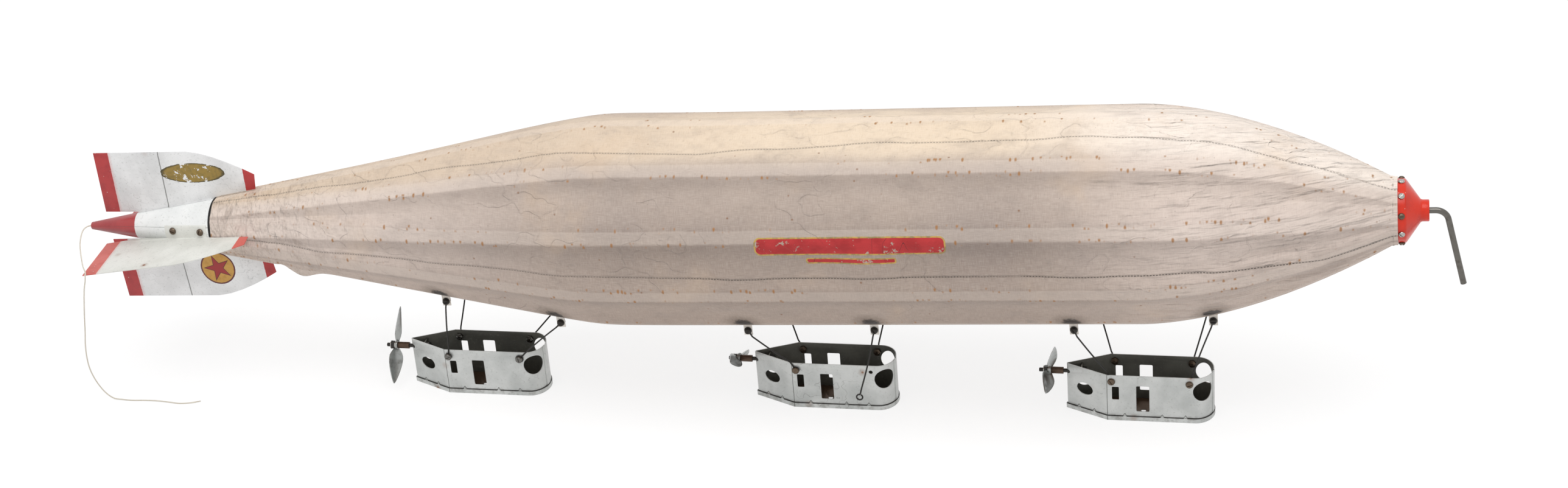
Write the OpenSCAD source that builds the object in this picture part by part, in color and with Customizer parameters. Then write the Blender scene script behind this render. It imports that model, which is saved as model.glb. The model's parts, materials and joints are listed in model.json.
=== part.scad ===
// Construction-set toy airship: a cloth-covered strip-steel hull with a tail
// cone, four fins, a nose cap with a mooring rod, and three hung gondolas.
// Millimetres, nose along +X, +Z up, resting on the three gondola floors.

/* [Hull] */
// Length from the tail tip to the end of the nose boss
hull_l = 1372; // [1300:1:1450]
// Radius of the hull at the flats of its stringers
hull_r = 106.5; // [100:0.5:112]
// Nose-up pitch of the hull over its level gondolas, in degrees
hull_pitch = 2.5; // [1:0.1:4]
// Height of the hull's axis over the floor at mid-length
axis_h = 205; // [195:1:220]
// Slope of the tail from the tip to the full radius, in degrees
tail_slope = 10.4; // [9.6:0.1:11]
// Length over which the nose rounds down to its cap
nose_l = 235; // [210:1:260]
// Radius of the hull just behind its cap
nose_r = 32.5; // [32:0.1:36]
// How bluntly the nose rounds, as the power of its curve
nose_power = 1.73; // [1.5:0.01:2]
// Thickness of the cloth cover
cloth_t = 0.8; // [0.6:0.1:1.2]
// Distance from the tail tip to the cloth's rear edge
cloth_start = 158; // [154:1:170]

/* [Frame] */
// Width of a stringer strip
strip_w = 15; // [12:0.5:16]
// Thickness of the strips, ring frames and brackets
strip_t = 1; // [0.8:0.1:1.2]
// Width of a ring frame
ring_w = 12; // [8:0.5:14]
// Diameter of a rivet's shank
rivet_d = 3.6; // [3:0.1:4]
// Diameter of a rivet's head
rivet_head_d = 7; // [6:0.1:8]

/* [Tail and fins] */
// Radius of the tail cone's tip
tip_r = 3.8; // [3:0.1:5]
// Length of the tail cone
cone_l = 144; // [140:1:148]
// Wall of the tail cone, of the fins and of the nose cap
sheet_t = 0.8; // [0.6:0.1:1]
// Radius of the fins' outer edges from the hull's axis
fin_r = 85; // [75:1:95]
// Distance from the tail tip to a fin's trailing edge
fin_start = 20; // [15:1:30]
// Length of a fin along its root
fin_l = 175; // [160:1:185]
// Trailing-edge droop of the two level fins, in degrees
fin_droop = 6.5; // [0:0.5:7]
// Diameter of the machine screws that hold fins, cap and brackets
screw_d = 4; // [3:0.1:4.5]
// Diameter of a round screw head
head_d = 7.6; // [7:0.1:9]

/* [Nose] */
// Outer radius of the nose cap's rim
cap_r = 30.6; // [30.4:0.1:31.5]
// Length of the nose cap with its boss
cap_l = 31; // [29:0.5:34]
// Diameter of the nose cap's boss
boss_d = 21; // [17:0.5:24]
// Diameter of the mooring rod
rod_d = 6; // [5:0.1:8]
// Radial clearance of a turning fit
fit_gap = 0.05; // [0.02:0.01:0.09]
// Length of rod that stands straight out of the boss
rod_out = 9; // [6:0.5:14]
// Angle of the rod's bend, in degrees
rod_bend = 79; // [45:1:90]
// Length of the rod beyond its bend
rod_l = 74; // [50:1:90]

/* [Gondolas] */
// Distance from the tail tip to each gondola's stern
stern_x = [334, 703, 1022];
// Width of a gondola
gon_w = 42; // [38:0.5:48]
// Height of a gondola
gon_h = 51.5; // [48:0.5:56]
// Length of the pointed stern
stern_l = 44; // [40:1:50]
// Length of the straight sides
side_l = 86; // [82:1:95]
// Length of the rounded bow
bow_l = 18; // [15:1:22]
// Height of the floor pan's upturned rim
rim_h = 4.8; // [3:0.1:7]
// Height of the propeller shaft over the floor
shaft_z = 42.5; // [42:0.5:44]
// Radius of a propeller
prop_r = 41; // [36:0.5:41.5]

/* [Links] */
// Distance from the tail tip to each gondola's rear brackets
rear_bracket_x = [392, 710, 1035];
// Distance from the tail tip to each gondola's front brackets
front_bracket_x = [515, 838, 1169];
// Height of the link screws over the gondola's floor
eye_z = 44.2; // [42:0.1:46]
// Diameter of the link wire
wire_d = 1.6; // [1.2:0.1:2]
// Outer diameter of a link's eye
eye_d = 8; // [7.6:0.1:9]
// Angle at which the unhooked link of the middle gondola hangs, in degrees
loose_angle = 14; // [0:1:25]

/* [Hidden] */
$fn = 48;

stringer_count = 10;
stringer_step = 360 / stringer_count;
// Depth of the stringers' outer face under the hull's outer surface
strip_depth = cloth_t + 0.2;
ring_depth = strip_depth + strip_t + 0.1;
// Places of the ring frames: behind the first bracket, ahead of each bracket, and in the nose
tail_ring_x = 265;
ring_ahead = 14;
nose_ring_back = 95;
ring_x = concat(
    [tail_ring_x],
    [for (k = [0 : 2]) each [rear_bracket_x[k] + ring_ahead, front_bracket_x[k] + ring_ahead]],
    [hull_l - nose_ring_back]
);
collar_rivet_x = cloth_start + 6;
collar_end = cloth_start + 14;
hole_gap = 0.1;
nut_t = 3;
nut_af = 7;
joint_gap = 0.2;

// Hull profile: radius at the stringer flats, by distance from the tail tip
cap_start = hull_l - cap_l;
tuck_l = 4;
nose_start = cap_start - tuck_l - nose_l;
shoulder = 4;
function cone_r(x) = tip_r + x * tan(tail_slope);
function soft_min(a, b) = (a + b - sqrt((a - b) * (a - b) + shoulder * shoulder)) / 2;
function nose_drop(x) = (hull_r - nose_r) * pow(max(0, x - nose_start) / nose_l, nose_power);
function curve_radius(x) = soft_min(cone_r(x), hull_r) - nose_drop(x);
function slope_at(x) = atan((hull_radius(x + 1) - hull_radius(x - 1)) / 2);

// Stations along the cloth, then its tuck under the cap
tuck_r = cap_r - sheet_t - 1.2;
full_x = (hull_r - tip_r) / tan(tail_slope);
nose_steps = 12;
stations = concat(
    [[cloth_start, curve_radius(cloth_start)]],
    [for (d = [-60, -30, -12, 2, 18, 50]) [full_x + d, curve_radius(full_x + d)]],
    [for (i = [0 : nose_steps]) let (x = nose_start + nose_l * i / nose_steps) [x, curve_radius(x)]],
    [[cap_start - 0.4, tuck_r], [cap_start + 2, tuck_r]]
);
function hull_radius(x) = lookup(x, stations);

// Placement: the hull's own frame runs from its tail tip along its axis
rod_bend_r = 8;
// The rod swells a little where it is bent, and its straights reach into the bend
bend_swell = 0.06;
bend_lap = 0.3;
rod_bend_x = hull_l + rod_out;
rod_end = [
    rod_bend_x + rod_bend_r * sin(rod_bend) + rod_l * cos(rod_bend),
    -rod_bend_r * (1 - cos(rod_bend)) - rod_l * sin(rod_bend)
];
rod_tip = rod_end + rod_d / 2 * [sin(rod_bend), cos(rod_bend)];
tail_reach = hull_l / 2 * cos(hull_pitch) + tip_r * sin(hull_pitch);
rod_reach = (rod_tip[0] - hull_l / 2) * cos(hull_pitch) - rod_tip[1] * sin(hull_pitch);
hull_mid_x = (tail_reach - rod_reach) / 2;
function on_floor(p) = [
    hull_mid_x + (p[0] - hull_l / 2) * cos(hull_pitch) - p[2] * sin(hull_pitch),
    p[1],
    axis_h + (p[0] - hull_l / 2) * sin(hull_pitch) + p[2] * cos(hull_pitch)
];
function gondola_x(k) = hull_mid_x + stern_x[k] - hull_l / 2;

// Brackets hang beside the stringers 36 degrees off the keel
bracket_w = 8.5;
tab_l = 11;
tab_drop = 5.5;
foot_in = 4;
tab_side = strip_w / 2 + 0.3 + strip_t / 2;
function tab_y(x) = hull_radius(x) * sin(stringer_step) - tab_side * cos(stringer_step);
function tab_top(x) = -hull_radius(x) * cos(stringer_step) - tab_side * sin(stringer_step);
function bracket_eye(x) = on_floor([x, 0, tab_top(x) - tab_drop]);

// Link eyes: thickness, and distance of their middle planes from the tab and the wall
eye_t = 1.5;
eye_bore = screw_d + 2 * fit_gap;
tab_eye_y = strip_t / 2 + joint_gap + eye_t / 2;
wall_eye_y = gon_w / 2 + joint_gap + eye_t / 2;
inner_gap = 0.4;
inner_eye_y = gon_w / 2 - sheet_t - inner_gap - eye_t / 2;
rear_eye_x = stern_l + 4;
front_eye_x = stern_l + 81;
open_eye_gap = 0.7;
// Distances from the eyes at which a wire bends
high_bend = 8;
low_bend = gon_h - eye_z + 3;

module in_hull() {
    translate([hull_mid_x, 0, axis_h])
        rotate([0, -hull_pitch, 0])
            translate([-hull_l / 2, 0, 0]) children();
}

// Children stand on a stringer: +X forwards, +Z out of its face
module on_stringer(angle, x, depth) {
    rotate([angle - 90, 0, 0])
        translate([x, 0, hull_radius(x) - depth])
            rotate([0, -slope_at(x), 0]) children();
}

module round_screw(grip, nut = true) {
    head_h = head_d * 0.38;
    rotate_extrude() polygon(concat(
        [[0, 0], [head_d / 2, 0]],
        [for (a = [10 : 16 : 90]) [head_d / 2 * cos(a), head_h * sin(a)]]
    ));
    translate([0, 0, -grip - nut_t - 0.8]) cylinder(d = screw_d, h = grip + nut_t + 0.8);
    if (nut)
        translate([0, 0, -grip - nut_t]) rotate([0, 0, 30])
            cylinder(d = nut_af / cos(30), h = nut_t, $fn = 6);
}

// Cloth cover

function cover_ring(x, r) = [
    for (i = [0 : stringer_count - 1]) let (a = i * stringer_step + stringer_step / 2)
        for (side = [-1, 1]) [
            x,
            r * cos(a) - side * min(strip_w / 2, r * tan(stringer_step / 2) - 0.5) * sin(a),
            r * sin(a) + side * min(strip_w / 2, r * tan(stringer_step / 2) - 0.5) * cos(a)
        ]
];

// A shell of even wall t that follows the hull's section, from its [x, radius] points
module shell(points, t) {
    n = 2 * stringer_count;
    rings = concat(
        [for (p = points) cover_ring(p[0], p[1])],
        [for (i = [len(points) - 1 : -1 : 0]) cover_ring(points[i][0], points[i][1] - t)]
    );
    count = len(rings);
    faces = [
        for (j = [0 : count - 1]) for (i = [0 : n - 1])
            let (a = j * n + i, b = j * n + (i + 1) % n)
            let (c = ((j + 1) % count) * n + i, d = ((j + 1) % count) * n + (i + 1) % n)
                each [[a, b, c], [b, d, c]]
    ];
    polyhedron([for (r = rings) each r], faces, convexity = 6);
}

module envelope_cover() {
    color("#cdbbae") in_hull() shell(stations, cloth_t);
}

// Steel frame inside the cloth

frame_end = cap_start + 8.5;
strip_path = concat([for (s = stations) if (s[0] < cap_start) s], [[frame_end, tuck_r]]);
cap_screw_x = cap_start + 5.5;

// Hole on a rivet's own line, through whatever lies within reach of the strip
module rivet_hole(angle, x) {
    on_stringer(angle, x, strip_depth)
        cylinder(d = rivet_d + 2 * hole_gap, h = 12 * strip_t, center = true);
}

module strip_holes(angle) {
    for (x = concat(ring_x, [collar_rivet_x])) rivet_hole(angle, x);
    if (abs(sin(angle) + cos(stringer_step)) < 0.01)
        for (x = concat(rear_bracket_x, front_bracket_x)) rivet_hole(angle, x);
    rotate([angle - 90, 0, 0]) translate([cap_screw_x, 0, tuck_r - strip_depth])
        cylinder(d = screw_d, h = 6 * strip_t, center = true);
}

module stringers() {
    color("#6d6a64") in_hull()
        for (i = [0 : stringer_count - 1]) let (angle = 90 + i * stringer_step)
            difference() {
                rotate([angle - 90, 0, 0]) rotate([90, 0, 0])
                    linear_extrude(strip_w, center = true) polygon(concat(
                        [for (s = strip_path) [s[0], s[1] - strip_depth]],
                        [for (i = [len(strip_path) - 1 : -1 : 0])
                            [strip_path[i][0], strip_path[i][1] - strip_depth - strip_t]]
                    ));
                strip_holes(angle);
            }
}

// A hoop that follows the hull's slope, from its profile of [x, radius] points
module hoop(points) {
    rotate([90, 0, 90]) rotate_extrude($fn = 96) polygon(concat(
        [for (p = points) [p[1], p[0]]],
        [for (i = [len(points) - 1 : -1 : 0]) [points[i][1] - strip_t, points[i][0]]]
    ));
}

module ring_frame(k) {
    x = ring_x[k];
    color("#7a766e") in_hull()
        difference() {
            shell(
                [for (s = [-1, 1]) [x + s * ring_w / 2, hull_radius(x + s * ring_w / 2) - ring_depth]],
                strip_t
            );
            for (i = [0 : stringer_count - 1]) rivet_hole(90 + i * stringer_step, x);
        }
}

module rivet(grip) {
    translate([0, 0, -grip - 0.1]) cylinder(d = rivet_d, h = grip + 0.1);
    translate([0, 0, -grip - 1.2]) cylinder(d = rivet_head_d, h = 1.1);
}

module frame_rivets() {
    color("#8a8378") in_hull() {
        for (x = concat(ring_x, [collar_rivet_x])) for (i = [0 : stringer_count - 1])
            on_stringer(90 + i * stringer_step, x, strip_depth) rivet(2 * strip_t + 0.1);
        for (x = concat(rear_bracket_x, front_bracket_x)) for (side = [-1, 1])
            on_stringer(-90 + side * stringer_step, x, strip_depth) rivet(2 * strip_t + 0.1);
    }
}

module nose_ring() {
    r = tuck_r - ring_depth;
    color("#7a766e") in_hull() difference() {
        hoop([[cap_start + 1, r], [frame_end, r]]);
        for (i = [0 : stringer_count - 1])
            rotate([i * stringer_step, 0, 0]) translate([cap_screw_x, 0, r])
                cylinder(d = screw_d, h = 6, center = true);
    }
}

// Nose cap with its mooring rod

module nose_cap() {
    inner = cap_r - sheet_t;
    dish_x = cap_start + 9;
    boss_x = hull_l - 7;
    back_x = boss_x - 2.5;
    color("#d93a2c") in_hull() difference() {
        rotate([90, 0, 90]) rotate_extrude($fn = 96) polygon([
            [inner, cap_start], [cap_r, cap_start], [cap_r, dish_x], [boss_d / 2, boss_x],
            [boss_d / 2, hull_l - 1], [boss_d / 2 - 1, hull_l], [rod_d / 2 + fit_gap, hull_l],
            [rod_d / 2 + fit_gap, back_x], [boss_d / 2 - 0.5, back_x], [inner, dish_x - 0.5]
        ]);
        for (i = [0 : stringer_count - 1])
            rotate([i * stringer_step, 0, 0]) translate([cap_screw_x, 0, cap_r])
                cylinder(d = screw_d, h = 6, center = true);
    }
}

module nose_cap_screws() {
    color("#b9b6ae") in_hull()
        for (i = [0 : stringer_count - 1])
            rotate([i * stringer_step, 0, 0]) translate([cap_screw_x, 0, cap_r + 0.05]) {
                rotate_extrude() polygon(concat(
                    [[0, 0], [head_d / 2 - 0.4, 0]],
                    [for (a = [10 : 16 : 90]) [(head_d / 2 - 0.4) * cos(a), 2.6 * sin(a)]]
                ));
                translate([0, 0, -cap_r + tuck_r - ring_depth - strip_t - 1.5])
                    cylinder(d = screw_d - 2 * hole_gap, h = cap_r - tuck_r + ring_depth + strip_t + 1.5);
            }
}

module mooring_rod() {
    inside = cap_l - 4;
    color("#8d9196") in_hull() translate([rod_bend_x, 0, -rod_bend_r]) {
        translate([-rod_out - inside, 0, rod_bend_r]) rotate([0, 90, 0])
            cylinder(d = rod_d, h = rod_out + inside + bend_lap);
        rotate([90, 0, 0]) rotate([0, 0, 90 - rod_bend])
            rotate_extrude(angle = rod_bend) translate([rod_bend_r, 0]) circle(d = rod_d + bend_swell);
        rotate([0, rod_bend, 0]) translate([-bend_lap, 0, rod_bend_r]) rotate([0, 90, 0])
            cylinder(d = rod_d, h = rod_l + bend_lap);
    }
}

module rod_collar() {
    front = hull_l - 7 - 2.5 - joint_gap;
    color("#8f7f55") in_hull() translate([front - 7, 0, 0]) rotate([0, 90, 0]) difference() {
        cylinder(d = rod_d + 7, h = 7);
        translate([0, 0, -1]) cylinder(d = rod_d, h = 9);
    }
}

// Tail cone and its collar

module tail_collar() {
    joggle = cloth_start - 8;
    color("#2b2a29") in_hull() difference() {
        hoop([
            [cone_l - 18, cone_r(cone_l - 18) - sheet_t - 2 * joint_gap],
            [joggle - 3, cone_r(joggle - 3) - sheet_t - 2 * joint_gap],
            [joggle, cone_r(joggle) - ring_depth],
            [collar_end, hull_radius(collar_end) - ring_depth]
        ]);
        for (i = [0 : stringer_count - 1]) rivet_hole(90 + i * stringer_step, collar_rivet_x);
        at_fin_screws() cylinder(d = screw_d + 2 * hole_gap, h = 8, center = true);
    }
}

module tail_cone() {
    color("#d5d7d8") in_hull() difference() {
        rotate([90, 0, 90]) rotate_extrude($fn = 96) polygon([
            [0, 0], [tip_r, 0], [cone_r(cone_l), cone_l],
            [cone_r(cone_l) - sheet_t, cone_l], [tip_r - sheet_t + 0.2, 2.5], [0, 2.5]
        ]);
        at_fin_screws() cylinder(d = screw_d + 2 * hole_gap, h = 8, center = true);
    }
}

// Fins: one pressing, used four times

fin_screw_back = [42, 9];
fin_screw_x = [cone_l - fin_screw_back[0], cone_l - fin_screw_back[1]];
flange_back = [52, 2];
flange_x = [cone_l - flange_back[0], cone_l - flange_back[1]];
flange_angle = 26;
flange_lip = 3;
fin_root = 16.5;
fin_nose_r = 57.5;
fin_shoulder_l = 70;
fin_bend_x = 135;
// Each fin: its angle about the hull's axis, and its trailing-edge droop
fin_top_set = [90, 0];
fin_bottom_set = [-90, 0];
fin_left_set = [0, fin_droop];
fin_right_set = [180, fin_droop];

fin_end = fin_start + fin_l;
fin_shoulder = fin_end - fin_shoulder_l;
// Fullness of the curve down to the nose, where 1 is straight
fin_nose_power = 1.5;
// Slant of the trailing edge, gap over the cloth, and the root's inset from the flange's ends
fin_rake = 2;
cloth_gap = 1.2;
root_inset = 4;
// Distance from the tail tip at which the cone's side reaches the root's height
root_x = (fin_root - 1 - tip_r) / tan(tail_slope);

// Distance of a fin's root from the axis, where its drooping plate meets the flange
function fin_root_y(x, droop) =
    sqrt(pow(cone_r(x), 2) - pow((fin_bend_x - x) * sin(droop), 2)) + sheet_t / 2;

function fin_outline(droop) = concat(
    [[fin_start, fin_root], [fin_start + fin_rake, fin_r], [fin_shoulder, fin_r]],
    [for (t = [0.2 : 0.2 : 0.8])
        [fin_shoulder + fin_shoulder_l * t, fin_r - (fin_r - fin_nose_r) * pow(t, fin_nose_power)]],
    [[fin_end, fin_nose_r], [fin_end - fin_rake, cone_r(fin_end) + cloth_gap]],
    [[cloth_start - root_inset, cone_r(cloth_start) + cloth_gap]],
    [for (x = [flange_x[1] - root_inset, (flange_x[0] + flange_x[1]) / 2, flange_x[0] + root_inset, root_x])
        [x, fin_root_y(x, droop)]]
);

module at_fin_screws() {
    for (set = [fin_top_set, fin_bottom_set, fin_left_set, fin_right_set])
        for (x = fin_screw_x) fin_screw_place(set, x) children();
}

// Children stand on the cone in the middle of a fin's flange, +Z outwards
module fin_screw_place(set, x) {
    side = cos(set[0]) < -0.5 ? 1 : -1;
    rotate([-set[0] + 90 + side * flange_angle * 0.45, 0, 0])
        translate([x, 0, cone_r(x)]) rotate([0, -tail_slope, 0]) children();
}

// Plate turned to its angle, where angle 0 points to -Y and 90 up
module fin(set) {
    side = cos(set[0]) < -0.5 ? 1 : -1;
    // The flange reaches down past a drooping plate
    reach = flange_lip + asin((fin_bend_x - flange_x[0]) * sin(set[1]) / cone_r(flange_x[0]));
    color("#d9d8d2") in_hull() difference() {
        union() {
            rotate([-set[0], 0, 0]) translate([fin_bend_x, 0, 0])
                rotate([0, side * set[1], 0]) translate([-fin_bend_x, 0, 0])
                    linear_extrude(sheet_t, center = true)
                        polygon([for (p = fin_outline(set[1])) [p[0], -p[1]]]);
            rotate([-set[0] + 90 - (side > 0 ? reach : flange_angle), 0, 0])
                rotate([90, 0, 90]) rotate([0, 0, 90])
                    rotate_extrude(angle = flange_angle + reach, $fn = 96) polygon([
                        [cone_r(flange_x[0]) + hole_gap, flange_x[0]],
                        [cone_r(flange_x[0]) + sheet_t, flange_x[0]],
                        [cone_r(flange_x[1]) + sheet_t, flange_x[1]],
                        [cone_r(flange_x[1]) + hole_gap, flange_x[1]]
                    ]);
        }
        for (x = fin_screw_x)
            fin_screw_place(set, x) cylinder(d = screw_d + 2 * hole_gap, h = 8, center = true);
    }
}

module fin_screws() {
    color("#77736b") in_hull() at_fin_screws()
        translate([0, 0, sheet_t + 0.1]) round_screw(2 * sheet_t + strip_t + 0.9);
}

// Tail cord, as points it follows from the tip to its loose end
cord_d = 1.6;
cord_sides = 8;
cord_step = 4.9;
cord_route = [
    [-703.5, 0, 175], [-708, -1, 174.8], [-711, -6, 174], [-710, -16, 172.5], [-704, -34, 171],
    [-694, -55, 170], [-684, -74, 168.5], [-678, -83, 166.8], [-676.5, -87, 164.5], [-677.5, -88, 158],
    [-681, -88, 146], [-687, -86, 120], [-693, -82, 95], [-698, -79, 75], [-701, -76, 56],
    [-702, -72, 39], [-699, -69, 23], [-694, -66, 10], [-687, -64.5, 2.5], [-679, -64, 0.9],
    [-667, -65, 0.9], [-651, -64, 0.9], [-637, -64, 0.9], [-624, -65.5, 0.9], [-612, -67, 0.9],
    [-600, -65, 0.9], [-590, -60.5, 0.9]
];

// A smooth curve through the route: point t of the way from point i to the next
function route_point(i, t) =
    let (n = len(cord_route), p1 = cord_route[i], p2 = cord_route[i + 1])
    let (p0 = i > 0 ? cord_route[i - 1] : 2 * p1 - p2, p3 = i < n - 2 ? cord_route[i + 2] : 2 * p2 - p1)
        (2 * p1 + (p2 - p0) * t + (2 * p0 - 5 * p1 + 4 * p2 - p3) * t * t
            + (3 * p1 - p0 - 3 * p2 + p3) * t * t * t) / 2;

module tail_cord() {
    line = concat(
        [for (i = [0 : len(cord_route) - 2])
            let (parts = max(1, round(norm(cord_route[i + 1] - cord_route[i]) / cord_step)))
                for (j = [0 : parts - 1]) route_point(i, j / parts)],
        [cord_route[len(cord_route) - 1]]
    );
    last = len(line) - 1;
    n = cord_sides;
    rings = [
        for (i = [0 : last])
            let (ahead = line[min(i + 1, last)] - line[max(i - 1, 0)], d = ahead / norm(ahead))
            let (side = cross(d, [0.3, 0.2, 1]), u = side / norm(side), v = cross(u, d))
                [for (k = [0 : n - 1]) line[i] + cord_d / 2 * (u * cos(360 * k / n) + v * sin(360 * k / n))]
    ];
    faces = concat(
        [for (j = [0 : last - 1]) for (k = [0 : n - 1])
            let (a = j * n + k, b = j * n + (k + 1) % n)
                each [[a, a + n, b], [b, a + n, b + n]]],
        [for (k = [1 : n - 2]) [0, k, k + 1]],
        [for (k = [1 : n - 2]) [last * n, last * n + k + 1, last * n + k]]
    );
    color("#efe9da") polyhedron([for (r = rings) each r], faces, convexity = 8);
}

// Gondolas

stern_angle = atan(gon_w / 2 / stern_l);
// Plan outline, drawn in by d all round
function outline(d) = concat(
    [[d / sin(stern_angle), 0],
     [(gon_w / 2 - d) / tan(stern_angle) + d / sin(stern_angle), -gon_w / 2 + d]],
    [for (a = [-90 : 11.25 : 90])
        [stern_l + side_l + (bow_l - d) * cos(a), (gon_w / 2 - d) * sin(a)]],
    [[(gon_w / 2 - d) / tan(stern_angle) + d / sin(stern_angle), gon_w / 2 - d]]
);

module at_gondola(k) {
    translate([gondola_x(k), 0, 0]) children();
}

module rounded_cut(w, h, r) {
    square([w - 2 * r, h], center = true);
    square([w, h - 2 * r], center = true);
    for (x = [-1, 1]) for (y = [-1, 1])
        translate([x * (w / 2 - r), y * (h / 2 - r)]) circle(r = r, $fn = 24);
}

// Cuts through both sides, in the plane of the side walls
module side_cut(x, z) {
    translate([x, 0, z]) rotate([90, 0, 0]) linear_extrude(2 * gon_w, center = true) children();
}

window_x = stern_l + 8;
door_x = stern_l + 35;
stern_port = [20.6, 28];
bow_port_angle = 60;

module gondola_wall(k) {
    bow_turn = atan(cos(bow_port_angle) * gon_w / 2 / (sin(bow_port_angle) * bow_l));
    color("#c4c7c6") at_gondola(k) difference() {
        translate([0, 0, sheet_t]) linear_extrude(gon_h - sheet_t) difference() {
            polygon(outline(0));
            polygon(outline(sheet_t));
        }
        side_cut(window_x, 31) rounded_cut(7, 15, 1);
        side_cut(door_x, 25.3) rounded_cut(13, 29.5, 1.2);
        for (x = [rear_eye_x, front_eye_x])
            side_cut(x, eye_z) circle(d = screw_d + 2 * fit_gap);
        for (side = [-1, 1]) {
            translate([stern_port[0], side * stern_port[0] * tan(stern_angle), stern_port[1]])
                rotate([90, 0, side * stern_angle]) linear_extrude(6, center = true)
                    polygon([for (a = [0 : 11.25 : 359]) [9.2 * cos(a), 6.8 * sin(a)]]);
            translate([
                stern_l + side_l + bow_l * cos(bow_port_angle),
                side * gon_w / 2 * sin(bow_port_angle), 35.5
            ])
                rotate([90, 0, side * -bow_turn]) cylinder(d = 22, h = 16, center = true);
        }
        translate([-5, 0, shaft_z]) rotate([0, 90, 0]) cylinder(d = shaft_d + 1, h = 12);
    }
}

module gondola_floor(k) {
    color("#bfc2c1") at_gondola(k) {
        difference() {
            linear_extrude(sheet_t) polygon(outline(-sheet_t - 0.1));
            for (x = [stern_l + 34, stern_l + 42]) translate([x, -3, -1])
                linear_extrude(4) rounded_cut(5, 3, 1.4);
        }
        linear_extrude(rim_h) difference() {
            polygon(outline(-sheet_t - 0.1));
            polygon(outline(-0.1));
        }
    }
}

// Stern bearing, shaft and propeller
shaft_d = 4;
bearing_x = 16;
bearing_t = 1.4;
shaft_out = 26;
hub_x = -15;
hub_t = 2.4;
hub_d = 10.4;
washer_t = 0.9;
washer_d = 9;
shaft_nut_t = 3.6;
shaft_nut_af = 8;

module shaft_bearing(k) {
    half = [
        for (x = [bearing_x, bearing_x + bearing_t])
            x * tan(stern_angle) - (sheet_t + 0.05) / cos(stern_angle)
    ];
    color("#6f6f69") at_gondola(k) difference() {
        translate([0, 0, shaft_z - 8]) linear_extrude(14) polygon([
            [bearing_x, -half[0]], [bearing_x + bearing_t, -half[1]],
            [bearing_x + bearing_t, half[1]], [bearing_x, half[0]]
        ]);
        translate([bearing_x - 1, 0, shaft_z]) rotate([0, 90, 0])
            cylinder(d = shaft_d + 2 * fit_gap, h = 4);
    }
}

module propeller_shaft(k) {
    color("#5b564e") at_gondola(k) translate([-shaft_out, 0, shaft_z]) rotate([0, 90, 0])
        cylinder(d = shaft_d, h = shaft_out + bearing_x + 8);
}

// Turn of each propeller about its shaft at rest, in degrees from upright
prop_turn = [-38, 66, 93];
blade_pitch = 38;
// The blades start outside the washers
blade_root = washer_d / 2 + 0.1;

module propeller(k) {
    color("#9b9d9c") at_gondola(k) translate([hub_x, 0, shaft_z]) rotate([prop_turn[k], 0, 0])
        difference() {
            union() {
                rotate([0, 90, 0]) cylinder(d = hub_d, h = hub_t, center = true);
                for (side = [0, 180]) rotate([side, 0, 0]) rotate([0, 0, blade_pitch]) rotate([90, 0, 90])
                    linear_extrude(sheet_t, center = true) polygon([
                        [-2.3, blade_root], [-6.5, 11], [-8, 18], [-7, 28], [-2.5, prop_r - 1.2],
                        [1, prop_r - 0.4], [6.5, 32], [8, 24], [7.5, 15], [2.3, blade_root]
                    ]);
            }
            rotate([0, 90, 0]) cylinder(d = shaft_d, h = 20, center = true);
        }
}

module square_nut(z) {
    translate([0, 0, z]) cylinder(d = shaft_nut_af / cos(45), h = shaft_nut_t, $fn = 4);
}

module shaft_nuts(k) {
    behind = hub_x - hub_t / 2;
    color("#4a443c") at_gondola(k) translate([0, 0, shaft_z]) rotate([0, 90, 0]) difference() {
        union() {
            // Spacer tube between the stern and the propeller
            translate([0, 0, hub_x + hub_t / 2]) cylinder(d = 7, h = -hub_x - hub_t / 2 - 1.5);
            // Nut between two washers behind the propeller
            translate([0, 0, behind - washer_t]) cylinder(d = washer_d, h = washer_t);
            square_nut(behind - washer_t - shaft_nut_t);
            translate([0, 0, behind - shaft_nut_t - 2 * washer_t]) cylinder(d = washer_d, h = washer_t);
            // Nut inside the stern, against the bearing
            square_nut(bearing_x + bearing_t + joint_gap);
        }
        translate([0, 0, -shaft_out - 5]) cylinder(d = shaft_d, h = 2 * shaft_out + 30);
    }
}

// Links and the screws they hang on

// True where a wire's lower eye lies inside the gondola's wall
function eye_inside(k, side) = k == 2 && side < 0;
function low_eye_y(k, side) = side * (eye_inside(k, side) ? inner_eye_y : wall_eye_y);
function high_eye(x, side) = bracket_eye(x) + [0, side * (tab_y(x) + tab_eye_y), 0];
function low_eye(k, x, side) = [gondola_x(k) + x, low_eye_y(k, side), eye_z];

module eye(at) {
    translate(at) rotate([90, 0, 0]) cylinder(d = eye_d, h = eye_t, center = true);
}

module wire(from, to) {
    along = to - from;
    translate(from) rotate([0, acos(along[2] / norm(along)), atan2(along[1], along[0])])
        cylinder(d = wire_d, h = norm(along), $fn = 24);
}

// A wire that leaves both eyes in their own planes and leans between its two bends
module wire_link(high, low, low_bore) {
    fall = [low[0] - high[0], 0, low[2] - high[2]];
    down = fall / norm(fall);
    path = [
        high + down * (eye_d / 2 - 1), high + down * high_bend,
        low - down * low_bend, low - down * (eye_d / 2 - 1)
    ];
    difference() {
        union() {
            eye(high);
            eye(low);
            for (i = [0 : 2]) wire(path[i], path[i + 1]);
            for (i = [1, 2]) translate(path[i]) sphere(d = wire_d + 0.1, $fn = 24);
        }
        translate(high) rotate([90, 0, 0]) cylinder(d = eye_bore, h = 2 * eye_d, center = true);
        translate(low) rotate([90, 0, 0]) cylinder(d = low_bore, h = 2 * eye_d, center = true);
    }
}

module rear_links(k) {
    color("#3b3936") for (side = [-1, 1])
        wire_link(high_eye(rear_bracket_x[k], side), low_eye(k, rear_eye_x, side), eye_bore);
}

module front_links(k) {
    color("#3b3936") for (side = k == 1 ? [1] : [-1, 1])
        wire_link(
            high_eye(front_bracket_x[k], side), low_eye(k, front_eye_x, side),
            screw_d + 2 * open_eye_gap
        );
}

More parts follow.
